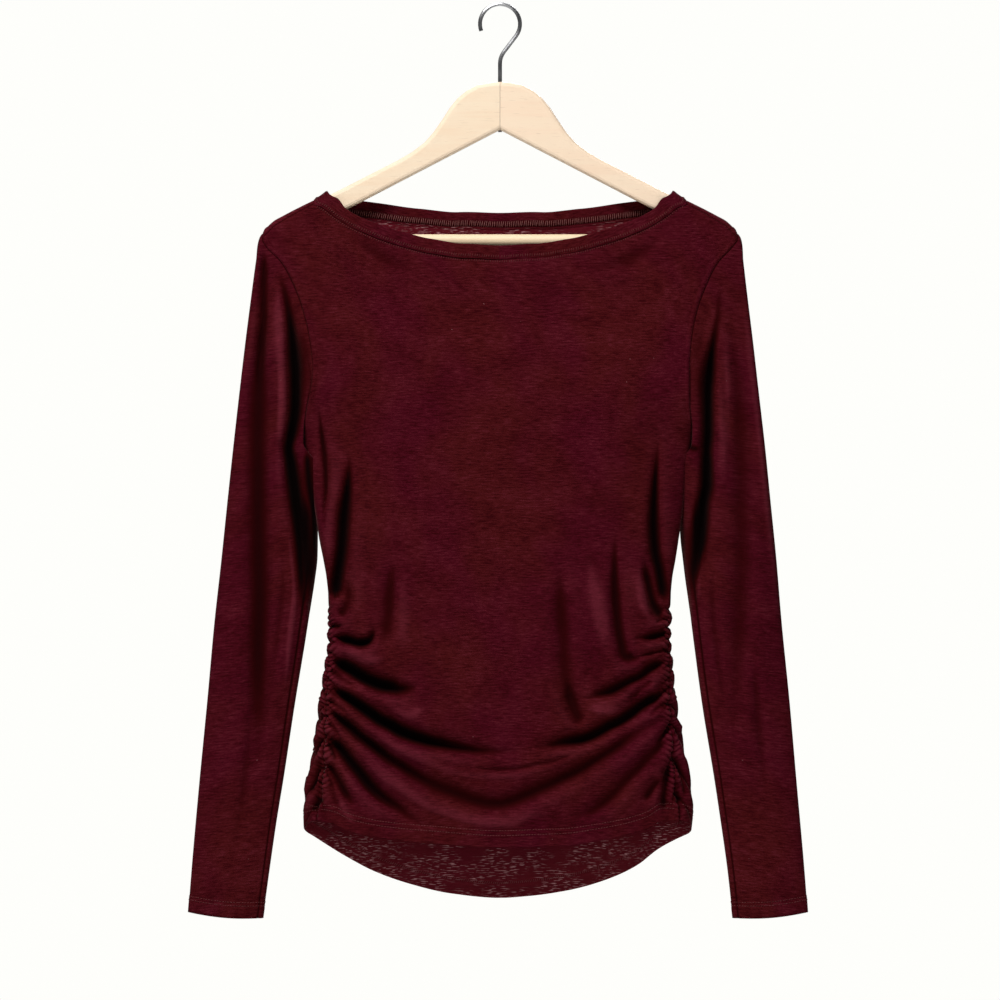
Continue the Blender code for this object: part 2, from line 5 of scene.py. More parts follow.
import bpy
import numpy as np
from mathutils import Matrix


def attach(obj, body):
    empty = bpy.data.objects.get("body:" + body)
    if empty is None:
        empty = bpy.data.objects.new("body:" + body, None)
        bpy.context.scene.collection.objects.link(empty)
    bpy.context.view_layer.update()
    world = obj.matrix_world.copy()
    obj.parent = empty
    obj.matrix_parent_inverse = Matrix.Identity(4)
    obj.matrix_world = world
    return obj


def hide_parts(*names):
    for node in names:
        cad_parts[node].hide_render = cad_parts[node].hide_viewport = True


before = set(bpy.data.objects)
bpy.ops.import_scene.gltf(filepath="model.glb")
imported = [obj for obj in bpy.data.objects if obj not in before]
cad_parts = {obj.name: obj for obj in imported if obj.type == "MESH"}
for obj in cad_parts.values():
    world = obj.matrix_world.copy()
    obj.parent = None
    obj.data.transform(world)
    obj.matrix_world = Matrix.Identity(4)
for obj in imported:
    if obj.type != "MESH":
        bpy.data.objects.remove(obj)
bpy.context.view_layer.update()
mm = 0.001


studio = {
    "lookAt": (0, -444.6),          # x and z in the middle of the view
    "distance": 6000,
    "viewWidth": 900,               # what the view takes in at the hanger
    "sensor": 36,
    "farthest": 60000,
    # place, where it points, width and height, strength in watts
    "lamps": {
        "key_light": ((-900, -1600, 2000), (0, 0, -430), (1100, 600), 95),
        "fill_light": ((700, -2600, -300), (0, 0, -450), (1400, 1400), 11),
        "back_light": ((300, 2100, 900), (0, 0, -400), (1400, 900), 42),
    },
    "floorHeight": -1300,
    "floorHalf": 2600,
    "surround": 0.09,               # light from all round, on the cloth
    "backdrop": (0.992, 0.992, 0.965, 1),
}


def buildStudio():
    scene = bpy.context.scene
    scene.view_settings.view_transform = "Standard"
    camera = bpy.data.objects.new("camera", bpy.data.cameras.new("camera"))
    scene.collection.objects.link(camera)
    viewX, viewZ = studio["lookAt"]
    camera.location = (viewX * mm, -studio["distance"] * mm, viewZ * mm)
    camera.rotation_euler = (math.pi / 2, 0, 0)
    camera.data.sensor_width = studio["sensor"]
    camera.data.lens = studio["sensor"] * studio["distance"] / studio["viewWidth"]
    camera.data.clip_end = studio["farthest"] * mm
    scene.camera = camera

    for name, (place, target, size, strength) in studio["lamps"].items():
        light = bpy.data.lights.new(name, "AREA")
        light.shape = "RECTANGLE"
        light.size, light.size_y = (s * mm for s in size)
        light.energy = strength
        lamp = bpy.data.objects.new(name, light)
        scene.collection.objects.link(lamp)
        lamp.location = [c * mm for c in place]
        away = np.array(place, float) - np.array(target, float)
        flat = math.hypot(away[0], away[1])
        lamp.rotation_euler = (math.atan2(flat, away[2]), 0, math.atan2(away[0], -away[1]))

    half, height = studio["floorHalf"] * mm, studio["floorHeight"] * mm
    corners = [(-half, -half, height), (half, -half, height), (half, half, height), (-half, half, height)]
    mesh = bpy.data.meshes.new("floor")
    mesh.from_pydata(corners, [], [(0, 1, 2, 3)])
    floor = bpy.data.objects.new("floor", mesh)
    scene.collection.objects.link(floor)
    return floor


class Wire:
    # one socket of a node tree, so that shader maths reads as plain expressions
    def __init__(self, maker, socket):
        self.maker, self.socket = maker, socket

    def math(self, operation, *values):
        return self.maker.node("Math", {"operation": operation}, values)

    def __add__(self, other):
        return self.math("ADD", self, other)

    __radd__ = __add__

    def __mul__(self, other):
        return self.math("MULTIPLY", self, other)

    __rmul__ = __mul__

    def __sub__(self, other):
        return self.math("SUBTRACT", self, other)

    def __rsub__(self, other):
        return self.math("SUBTRACT", other, self)

    def over(self, low, high):      # 0 below low, 1 above high, smooth between
        settings = {"interpolation_type": "SMOOTHSTEP"}
        return self.maker.node("MapRange", settings, {"Value": self, "From Min": low, "From Max": high})


class Nodes:
    # a node tree whose nodes all come from one method: type, settings, then values or links of sockets
    def __init__(self, tree):
        self.tree = tree

    def node(self, kind, settings=None, sockets=None, out=0):
        made = self.tree.nodes.new("ShaderNode" + kind)
        for key, value in (settings or {}).items():
            setattr(made, key, value)
        pairs = sockets.items() if isinstance(sockets, dict) else enumerate(sockets or [])
        for key, value in pairs:
            if isinstance(value, Wire):
                self.tree.links.new(value.socket, made.inputs[key])
            else:
                made.inputs[key].default_value = value
        return Wire(self, made.outputs[out])


class Finish(Nodes):
    # a material and the nodes that feed its surface
    def __init__(self, name, **fixed):
        self.material = bpy.data.materials.new(name)
        self.material.use_nodes = True
        super().__init__(self.material.node_tree)
        self.shader = self.tree.nodes["Principled BSDF"]
        for socket, value in fixed.items():
            self.shader.inputs[socket.replace("_", " ")].default_value = value

    def place(self, scale, turn=(0, 0, 0), on="object"):
        # coordinates in pattern units: object metres, or the cloth's own metres across and down
        if on == "cloth":
            source = self.node("UVMap", {"uv_map": "cloth"})
        else:
            source = self.node("TexCoord", out=3)
        return self.node("Mapping", {}, {"Vector": source, "Rotation": turn, "Scale": scale})

    def noise(self, where, detail, roughness):
        sockets = {"Vector": where, "Scale": 1, "Detail": detail, "Roughness": roughness}
        return self.node("TexNoise", {}, sockets)

    def blend(self, factor, low, high):     # two linear colours mixed by a number
        low, high = (value if isinstance(value, Wire) else (*value, 1) for value in (low, high))
        return self.node("Mix", {"data_type": "RGBA"}, {0: factor, 6: low, 7: high}, out=2)

    def surface(self, colour, roughness, height=None, depth=0, strength=0):
        fed = {"Base Color": colour, "Roughness": roughness}
        if height is not None:
            fed["Normal"] = self.node("Bump", {}, {"Strength": strength, "Distance": depth, "Height": height})
        for socket, wire in fed.items():
            self.tree.links.new(wire.socket, self.shader.inputs[socket])
        return self.material


jersey = {
    # linear colours: between the streaks, the cloth itself, and its paler worn yarn
    "deep": (0.030, 0.0008, 0.0022), "plain": (0.058, 0.0026, 0.0062), "worn": (0.098, 0.0100, 0.0175),
    # painted shade inside a fold and at its very bottom, and a painted highlight on a raised roll
    "shade": (0.0240, 0.0003, 0.0006), "paintedShade": (0.0010, 0.0001, 0.0001), "raised": (0.165, 0.0210, 0.0350),
    "brown": (0.060, 0.0052, 0.0046), "plum": (0.056, 0.0016, 0.0085),      # slow drifts of hue
    # wrongSide: the wrong side's paler colour, partly its own look and partly painted light
    "wrongSide": (0.120, 0.0085, 0.0150), "speck": (0.40, 0.195, 0.205),
    # sizes of the patterns: along the course, height
    "streak": (9.0, 1.3), "fine": (2.2, 0.55), "mottle": (38.0, 24.0), "drift": (75.0, 120.0),
    "dash": (7.0, 0.9), "patch": (26.0, 16.0), "lint": (17.0, 17.0), "lintPatch": (60.0, 60.0),
    "sheen": 0.070, "sheenTint": (1.0, 0.50, 0.46, 1),
}


def jerseyFinish(name, inside=False):
    # slub jersey: short streaks along the courses over soft mottling, darker between them
    finish = Finish(name, Roughness=0.86, Sheen_Weight=jersey["sheen"], Sheen_Roughness=0.28,
                    Sheen_Tint=jersey["sheenTint"], Specular_IOR_Level=0.03)

    def where(pattern):
        along, down = jersey[pattern]
        return finish.place((1000 / along, 1000 / down, 1), on="cloth")

    streak = finish.noise(where("streak"), 3, 0.6)
    fine = finish.noise(where("fine"), 2, 0.6)
    mottle = finish.noise(where("mottle"), 3, 0.55)
    drift = finish.noise(where("drift"), 2, 0.6)
    loops = {"Vector": finish.place((1000, 1000, 1), on="cloth"), "Scale": 0.55, "Distortion": 0.6}
    knit = finish.node("TexWave", {"bands_direction": "X"}, loops)
    tone = (streak - 0.5) * 2.3 + (mottle - 0.5) * 1.0 + (fine - 0.5) * 1.3 + 0.5
    plain = finish.blend(drift.over(0.36, 0.66), jersey["brown"], jersey["plum"])
    plain = finish.blend(0.40, plain, jersey["plain"])
    colour = finish.blend(tone.over(0.0, 0.6), jersey["deep"], plain)
    colour = finish.blend(tone.over(0.5, 1.25), colour, jersey["worn"])
    if inside:      # thick places in the yarn show paler on the wrong side, in patches
        dash = finish.noise(where("dash"), 1.5, 0.5)
        patch = finish.noise(where("patch"), 2, 0.5)
        pale = dash.over(0.555, 0.66) * patch.over(0.35, 0.60)
        # the wrong side is paler: partly its own look, partly painted light making up for the shade the front
        # panel casts on it
        colour = finish.blend(0.5, colour, jersey["wrongSide"])
        colour = finish.blend(pale * 0.85, colour, jersey["speck"])
    else:           # a few specks of lint
        lint = finish.node("TexVoronoi", {"feature": "F1"}, {"Vector": where("lint"), "Scale": 1.0})
        lintPatch = finish.noise(where("lintPatch"), 1, 0.5).over(0.52, 0.6)
        colour = finish.blend((1 - lint.over(0.012, 0.035)) * lintPatch * 0.5, colour, jersey["speck"])
    # the painted shade number, worked out from the folds: 1 for full painted shade at the bottom of a fold, 0
    # on plain cloth, below 0 for a painted highlight on a raised roll
    paintedShade = finish.node("Attribute", {"attribute_name": "paintedShade"}, out=2)
    colour = finish.blend((0 - paintedShade).over(0.0, 1.0) * (0.30 + tone * 0.26), colour, jersey["raised"])
    colour = finish.blend(paintedShade.over(0.0, 0.62) * 0.92, colour, jersey["shade"])
    colour = finish.blend(paintedShade.over(0.42, 1.0) * 0.98, colour, jersey["paintedShade"])
    height = streak * 0.6 + fine * 0.5 + knit * 0.35
    return finish.surface(colour, 0.80 + streak * 0.12, height, 0.00035, 0.55)


threads = {     # light and dark of each thread
    "wine_thread": ((0.170, 0.050, 0.052), (0.090, 0.014, 0.016)),
    "neck_thread": ((0.125, 0.030, 0.030), (0.070, 0.010, 0.011)),
    "overlock_thread": ((0.250, 0.095, 0.090), (0.140, 0.042, 0.040)),
}


def threadFinish(name):
    light, dark = threads[name]
    finish = Finish(name, Roughness=0.8, Specular_IOR_Level=0.08)
    tone = finish.noise(finish.place((900, 900, 900)), 2, 0.6)
    twist = finish.noise(finish.place((2600, 2600, 2600)), 1, 0.5)
    colour = finish.blend(tone.over(0.3, 0.7), dark, light)
    return finish.surface(colour, 0.6 + tone * 0.2, twist, 0.0001, 0.3)


wood = {
    # turn of the grain about Y in degrees, two tones, and how strong the darker streaks are
    "hanger_arm_left": (27, (0.90, 0.735, 0.545), (0.86, 0.62, 0.42), 0.55),
    "hanger_arm_right": (-27, (0.90, 0.715, 0.53), (0.87, 0.60, 0.42), 0.45),
    "hanger_bar": (0, (0.90, 0.71, 0.48), (0.82, 0.58, 0.34), 0.45),
}


def woodFinish(node):
    # grain drawn out along the piece: broad soft bands, fine lines and a few short pores
    turn, pale, warm, strength = wood[node]
    finish = Finish(node + "_wood", Roughness=0.5, Specular_IOR_Level=0.4, Coat_Weight=0.12,
                    Coat_Roughness=0.35)
    way = (0, math.radians(turn), 0)
    bands = finish.noise(finish.place((9, 30, 75), way), 3, 0.55)
    lines = finish.noise(finish.place((22, 300, 420), way), 4, 0.65)
    pores = finish.noise(finish.place((90, 1200, 1500), way), 1.5, 0.5)
    tone = (bands - 0.5) * 1.5 + (lines - 0.5) * 0.9 + 0.45
    colour = finish.blend(tone.over(0.1, 1.0) * strength, pale, warm)
    colour = finish.blend(pores.over(0.66, 0.76) * 0.45, colour, tuple(c * 0.62 for c in warm))
    return finish.surface(colour, 0.44 + lines * 0.16, lines * 0.5 - pores.over(0.6, 0.8), 0.00015, 0.35)


wire = {"dull": (0.30, 0.30, 0.31), "bright": (0.52, 0.52, 0.53)}


def wireFinish():
    # drawn wire: fine lines along it, and patches rubbed bright
    finish = Finish("bright_wire", Metallic=1.0)
    drawn = finish.noise(finish.place((2500, 2500, 60)), 3, 0.6)
    rubbed = finish.noise(finish.place((160, 160, 90)), 2, 0.5)
    colour = finish.blend(rubbed.over(0.3, 0.7), wire["dull"], wire["bright"])
    return finish.surface(colour, 0.24 + drawn * 0.14, drawn, 0.00005, 0.3)


floorTones = ((0.86, 0.86, 0.85), (0.90, 0.90, 0.885))


def floorFinish():
    finish = Finish("pale_floor", Roughness=0.8)
    soft = finish.noise(finish.place((3, 3, 3)), 3, 0.5)
    return finish.surface(finish.blend(soft, *floorTones), 0.7 + soft * 0.15)


def surroundLight():
    # near white where the camera sees it, a softer grey light on the cloth
    world = bpy.data.worlds.new("surround")
    bpy.context.scene.world = world
    world.use_nodes = True
    nodes = Nodes(world.node_tree)
    glow = nodes.node("Background", {}, {"Color": (1, 1, 1, 1), "Strength": studio["surround"]})
    seen = nodes.node("Background", {}, {"Color": studio["backdrop"]})
    fromCamera = nodes.node("LightPath")
    mixed = nodes.node("MixShader", {}, [fromCamera, glow, seen])
    world.node_tree.links.new(mixed.socket, world.node_tree.nodes["World Output"].inputs["Surface"])


hang = {
    "wrap": 9.5,                    # radius of the cloth over an arm
    "shoulder": 213.5,              # where the shoulder seams end
    "roundness": 0.72,
    "underarm": -391.0,
    "sideHem": -732.8,
    "hemWrap": 190.0,
    "hemTurns": 6,                  # passes in which the columns settle on their hem
    # crest line over the arms: distance from the middle, height
    "crest": [(0, -91.7), (150, -166.7), (196, -189.7), (203, -193.6), (208, -198.0), (211.5, -201.8),
              (213.5, -204.6)],
    # body edges: height, left, right
    "edges": [
        (-150, -213.5, 213.5), (-210, -213.5, 213.5), (-216, -210.5, 209.5), (-230, -197.0, 196.5),
        (-252, -184.8, 185.0), (-274, -176.8, 177.0), (-306, -169.8, 171.2), (-327, -167.9, 170.0),
        (-342, -169.2, 170.0), (-359, -172.8, 170.4), (-380, -175.8, 172.3), (-391, -176.2, 172.0),
        (-413, -171.9, 168.5), (-436, -168.8, 166.0), (-460, -165.2, 163.2), (-481, -162.0, 160.2),
        (-499, -158.4, 157.4), (-515, -155.7, 154.6), (-535, -153.9, 153.0), (-571, -153.9, 152.6),
        (-597, -157.2, 154.8), (-622, -161.0, 157.3), (-646, -164.3, 161.0), (-670, -167.4, 164.7),
        (-696, -171.8, 169.3), (-720, -175.0, 172.4), (-742, -175.5, 171.9), (-830, -175.5, 171.9),
    ],
    # angle of the side seams round the body: height, degrees
    "seamAngle": [(-150, 90), (-495, 90), (-530, 86.5), (-560, 82.5), (-590, 79.5), (-613, 76), (-637, 73),
                  (-661, 71), (-686, 68.5), (-706, 67), (-733, 69), (-830, 69)],
    # depth beyond the wrap: height, front middle, back middle, front edge, back edge
    "depth": [
        (-60, 0, 0, 0, 0), (-190, 0.3, 0.3, 0, 0), (-230, 2.5, 2.0, 0.3, 0.3), (-270, 6.0, 5.0, 2.5, 2.5),
        (-306, 9.5, 8.0, 5.5, 5.5), (-342, 12.0, 11.0, 5.5, 5.5), (-365, 13.3, 12.5, 0.5, 0.5),
        (-380, 14.2, 13.5, -5.0, -5.0), (-391, 15.0, 14.2, -9.0, -9.0), (-430, 16.5, 15.5, -9.0, -9.0),
        (-500, 18.5, 16.5, -9.0, -9.0), (-600, 21.6, 18.0, -9.0, -9.0), (-660, 22.2, 20.0, -9.0, -9.0),
        (-700, 20.8, 21.0, -9.0, -9.0), (-760, 18.0, 22.0, -9.0, -9.0), (-830, 17.0, 22.0, -9.0, -9.0),
    ],
    # hems: x, height
    "frontHem": [
        (-170, -732.0), (-149.4, -735.6), (-135, -742.0), (-121.5, -745.6), (-99, -749.2), (-56.7, -752.9),
        (0, -756.5), (27, -755.8), (58.5, -754.7), (87.3, -750.6), (111.6, -746.1), (132.3, -739.8),
        (146, -732.5), (168, -732.5),
    ],
    "backHem": [
        (-175.8, -742.5), (-140.8, -765.5), (-114.3, -779.9), (-80.6, -792.0), (-44.4, -800.5),
        (0, -804.6), (27, -802.8), (58.5, -798.3), (99.5, -786.6), (124.8, -774.0), (141.7, -760.5),
        (171.8, -743.8),
    ],
}

neck = {
    # left half, from the front middle: seam x, seam height, edge x, edge height
    "front": [
        (0, -228.6, 0, -215.9), (-33, -227.2, -32, -214.2), (-66, -222.8, -63, -209.7),
        (-90, -216.5, -85, -204.2), (-115, -207.5, -109, -196.6), (-138, -197.0, -129.5, -188.2),
        (-151, -188.6, -139.5, -181.6), (-160, -181.6, -145.5, -173.8),
    ],
    # over the arm: seam x, distance, edge x, distance
    "crest": [
        (-167.8, -8.0, -151.6, -8.5), (-167.4, -3.5, -154.6, -3.5), (-166.8, 1.5, -155.6, 1.5),
        (-165.6, 6.5, -153.6, 6.5), (-163.6, 12.0, -150.0, 12.0),
    ],
    # from the arm to the back middle
    "back": [
        (-158, -182.5, -144, -171.5), (-142, -187.0, -132, -173.8), (-112, -191.2, -107, -177.2),
        (-76, -195.6, -73, -181.9), (-38, -198.2, -37, -185.0), (0, -199.0, 0, -185.7),
    ],
    # shoulder seam: x, distance down the front of the arm
    "shoulder": [(-181, -8.4), (-193.5, -9.2), (-205, -10.4), (-213.5, -11.6)],
    "end": 166,                     # where the neck seam ends and the shoulder seam starts
    "bandLift": 0.6, "crestLift": 3.0,      # how far the band stands off, and its edge over the arm
    "bandHalf": 0.85,               # half the folded band's thickness
    "bandPoints": 15, "bandStations": 560,  # points up the band and round the neck
    "closing": 1.4,                 # from the last station back to the first
    # painted shade along the band's seam
    "seamPaintedShade": 0.30,
}


def through(table, column, at):
    # a smooth curve through one column of a table against its first: cubic spans that never overshoot
    rows = np.array(table, float)
    rows = rows[np.argsort(rows[:, 0])]
    x, y = rows[:, 0], rows[:, column]
    step = np.diff(x)
    slope = np.diff(y) / step
    tangent = np.zeros_like(y)
    sameWay = slope[1:] * slope[:-1] > 0
    weight = np.where(sameWay, slope[1:] * slope[:-1], 0) * (step[1:] + step[:-1])
    tangent[1:-1] = weight / np.where(sameWay, slope[1:] * step[1:] + slope[:-1] * step[:-1], 1)
    tangent[0], tangent[-1] = slope[0], slope[-1]
    at = np.clip(np.asarray(at, float), x[0], x[-1])
    i = np.clip(np.searchsorted(x, at) - 1, 0, len(x) - 2)
    t = (at - x[i]) / step[i]
    return ((2 * t**3 - 3 * t**2 + 1) * y[i] + (t**3 - 2 * t**2 + t) * step[i] * tangent[i]
            + (3 * t**2 - 2 * t**3) * y[i + 1] + (t**3 - t**2) * step[i] * tangent[i + 1])


def crestHeight(x):
    return through(hang["crest"], 1, np.abs(x))


def clothDistance(drop):
    # distance down the cloth for a drop below the crest: round the arc, then straight down
    radius = hang["wrap"]
    onArc = radius * np.arccos(np.clip(1 - drop / radius, -1, 1))
    return np.where(drop < radius, onArc, drop + (math.pi / 2 - 1) * radius)


def overArm(h):
    # reach in y and drop in z at distance h: an arc over the arm, then a straight fall
    radius = hang["wrap"]
    angle = np.clip(h / radius, -math.pi / 2, math.pi / 2)
    beyond = np.maximum(np.abs(h) - radius * math.pi / 2, 0)
    return radius * np.sin(angle), radius * (1 - np.cos(angle)) + beyond


def neckStations():
    # seam and edge points (x, distance) of the left half of the neck
    made = []
    for rows, side in ((neck["front"], -1), (neck["back"], 1)):
        seamX, seamZ, edgeX, edgeZ = np.array(rows, float).T
        seamH = side * clothDistance(crestHeight(seamX) - seamZ)
        edgeH = side * clothDistance(crestHeight(edgeX) - edgeZ)
        made.append([tuple(row) for row in np.stack([seamX, seamH, edgeX, edgeH], 1)])
    return made[0], neck["crest"], made[1]


def cornerOf(x, h):
    # the crest line's corner at the middle, as it shows in distances down the cloth. Left out while a
    # run of distances is smoothed, so that seams across the middle come out smooth in height
    near = np.minimum(np.abs(x), 60)
    return np.sign(h) * 0.5 * (near - near**2 / 120 - 30)


def smoothStations(table, at):
    # smooth columns of (walked, x, distance, x, distance ...), without the crest line's corner
    table = np.array(table, float)
    for k in range(1, table.shape[1], 2):
        table[:, k + 1] += cornerOf(table[:, k], table[:, k + 1])
    made = [through(table, k, at) for k in range(1, table.shape[1])]
    for k in range(0, len(made), 2):
        made[k + 1] = made[k + 1] - cornerOf(made[k], made[k + 1])
    return np.stack(made, 1)


def shareOf(x):
    return np.arcsin(np.clip(x / hang["shoulder"], -1, 1)) / (math.pi / 2)


def bodyPoint(side, xTop, h):
    # x goes with the sine of an angle round the body and y with a power of its cosine;
    # past a right angle the back wraps round the gathered sides to the front
    reach, drop = overArm(h)
    z = crestHeight(xTop) - drop
    left, right = through(hang["edges"], 1, z), through(hang["edges"], 2, z)
    middle, half = (left + right) / 2, (right - left) / 2
    seamAngle = np.radians(through(hang["seamAngle"], 1, z))
    frontMid, backMid = through(hang["depth"], 1, z), through(hang["depth"], 2, z)
    if side == "front":
        angle, mid, edge = shareOf(xTop) * seamAngle, frontMid, through(hang["depth"], 3, z)
    else:
        angle, mid, edge = shareOf(xTop) * (math.pi - seamAngle), backMid, through(hang["depth"], 4, z)
    cosine = np.cos(angle)
    power = np.abs(cosine) ** hang["roundness"]
    y = np.where(cosine >= 0, reach + edge + (mid - edge) * power, -(hang["wrap"] + frontMid) * power)
    x = middle + half * np.sin(angle)
    return np.stack([x, -y if side == "front" else y, z], -1)


def hemDistance(side, xTop):
    # where each column meets its hem: settled by a few turns, as the hem's height is given on x
    table = hang["frontHem"] if side == "front" else hang["backHem"]
    climb = np.clip((np.abs(xTop) - hang["hemWrap"]) / (hang["shoulder"] - hang["hemWrap"]), 0, 1) ** 2
    climb = climb if side == "back" else (climb == 1) * 1.0
    z = np.full_like(xTop, hang["sideHem"])
    for _ in range(hang["hemTurns"]):
        h = clothDistance(crestHeight(xTop) - z)
        z = through(table, 1, bodyPoint(side, xTop, h)[:, 0])
        z = z + (hang["sideHem"] - z) * climb
    return clothDistance(crestHeight(xTop) - z)


weave = {
    "columnStep": 5.0,              # spacing of the columns along the top
    "edgeSteps": (0, 0.5, 1.1, 1.9, 3.0, 4.6, 6.8, 9.6),
    "overArmRows": {"front": 8, "back": 18},
    "upperRows": {"front": 60, "back": 56},
    "lowerRows": [(0, 0), (0.43, 28), (0.91, 176), (1, 20)],    # share of the way to the hem, rows to there
    "wall": 0.9,
}


def topLine(side):
    # tops of the columns: x and distance, evenly along the shoulder and neck seams and closer at the ends
    front, crest, back = neckStations()
    shoulder = list(neck["shoulder"])[::-1]
    if side == "front":
        neckLeft = [crest[0][:2]] + [row[:2] for row in reversed(front)]
        shoulder, neckLeft = [(x, -h) for x, h in shoulder], [(x, -h) for x, h in neckLeft]
    else:
        neckLeft = [row[:2] for row in crest] + [row[:2] for row in back]
    shoulder = np.array(shoulder + [neckLeft[0]])
    whole = np.array(neckLeft + [(-x, h) for x, h in reversed(neckLeft[:-1])])
    flipped = shoulder[::-1] * (-1, 1)
    lines = []
    for stretch in (shoulder, whole, flipped):
        moved = np.stack([shareOf(stretch[:, 0]) * hang["shoulder"] * math.pi / 2, stretch[:, 1]], 1)
        walked = np.concatenate([[0], np.cumsum(np.linalg.norm(np.diff(moved, axis=0), axis=1))])
        table = [(w, x, h) for w, (x, h) in zip(walked, stretch)]
        at = np.linspace(0, walked[-1], int(round(walked[-1] / weave["columnStep"])) + 1)
        steps = np.array(weave["edgeSteps"])
        if stretch is shoulder:
            at = np.concatenate([steps, at[at > steps[-1] + 2]])
        if stretch is flipped:
            at = np.concatenate([at[at < walked[-1] - steps[-1] - 2], walked[-1] - steps[::-1]])
        lines.append(smoothStations(table, at))
    return np.concatenate([lines[0][:-1], lines[1], lines[2][1:]])


def rowsToUnderarm(side):
    return weave["overArmRows"][side] + weave["upperRows"][side]


def panelBase(side):
    # the panel without folds: rows down, columns across, and each column's distance down the cloth
    top = topLine(side)
    xTop, hTop = top[:, 0], top[:, 1]
    hem = hemDistance(side, xTop)
    edgeH = float(clothDistance(crestHeight(hang["shoulder"]) - hang["underarm"]))
    level = hTop + (hem - hTop) * (edgeH - hTop[0]) / (hem[0] - hTop[0])
    over = (hang["wrap"] * math.pi / 2 - hTop[0]) / (edgeH - hTop[0])
    upper = np.concatenate([np.linspace(0, over, weave["overArmRows"][side] + 1),
                            np.linspace(over, 1, weave["upperRows"][side] + 1)[1:]])
    stops = weave["lowerRows"]
    lower = np.concatenate([np.linspace(a, b, count + 1)[1:]
                            for (a, _), (b, count) in zip(stops, stops[1:])])
    h = np.concatenate([hTop + upper[:, None] * (level - hTop), level + lower[:, None] * (hem - level)])
    xAll = np.broadcast_to(xTop, h.shape)
    return bodyPoint(side, xAll, h), xAll, h


def walkedAlong(grid, axis):
    # running length of the cloth along one way of a grid
    length = np.linalg.norm(np.diff(grid, axis=axis), axis=-1)
    start = np.zeros_like(np.take(length, [0], axis))
    return np.concatenate([start, np.cumsum(length, axis)], axis)


def normalsOf(grid, outward, closed=False):
    # unit normals from the two ways' differences, turned to agree with the outward directions
    around = np.concatenate([grid[:, -1:], grid, grid[:, :1]], 1) if closed else grid
    across = np.gradient(around, axis=1)
    across = across[:, 1:-1] if closed else across
    normal = np.cross(np.gradient(grid, axis=0), across)
    normal /= np.maximum(np.linalg.norm(normal, axis=-1, keepdims=True), 1e-9)
    return normal * np.sign((normal * outward).sum(-1).mean())


def softened(field, passes=1, closed=False):
    # each value drawn towards the mean of its neighbours
    for _ in range(passes):
        padded = np.pad(field, ((1, 1), (0, 0), (0, 0)), mode="edge")
        padded = np.pad(padded, ((0, 0), (1, 1), (0, 0)), mode="wrap" if closed else "edge")
        field = (4 * padded[1:-1, 1:-1] + padded[:-2, 1:-1] + padded[2:, 1:-1]
                 + padded[1:-1, :-2] + padded[1:-1, 2:]) / 8
    return field


# the second swag, from side to side
longSwag = (
    -156, -633, -149, -637, -143, -642, -135, -649, -126, -657, -117, -663.3, -108, -670.5, -99, -677.5,
    -90, -682.5, -81, -688.5, -72, -694, -63, -699, -54, -703, -45, -706.5, -36, -710, -27, -713.2,
    -18, -715.6, -9, -717.4, 0, -717.4, 9, -715.4, 18, -712, 27, -708.3, 36, -704, 45, -700, 54, -695.5,
    63, -691, 72, -686, 81, -680.4, 90, -675, 99, -669.5, 108, -663.3, 117, -656.5, 126, -650.7,
    135, -646, 145, -641, 154, -637)
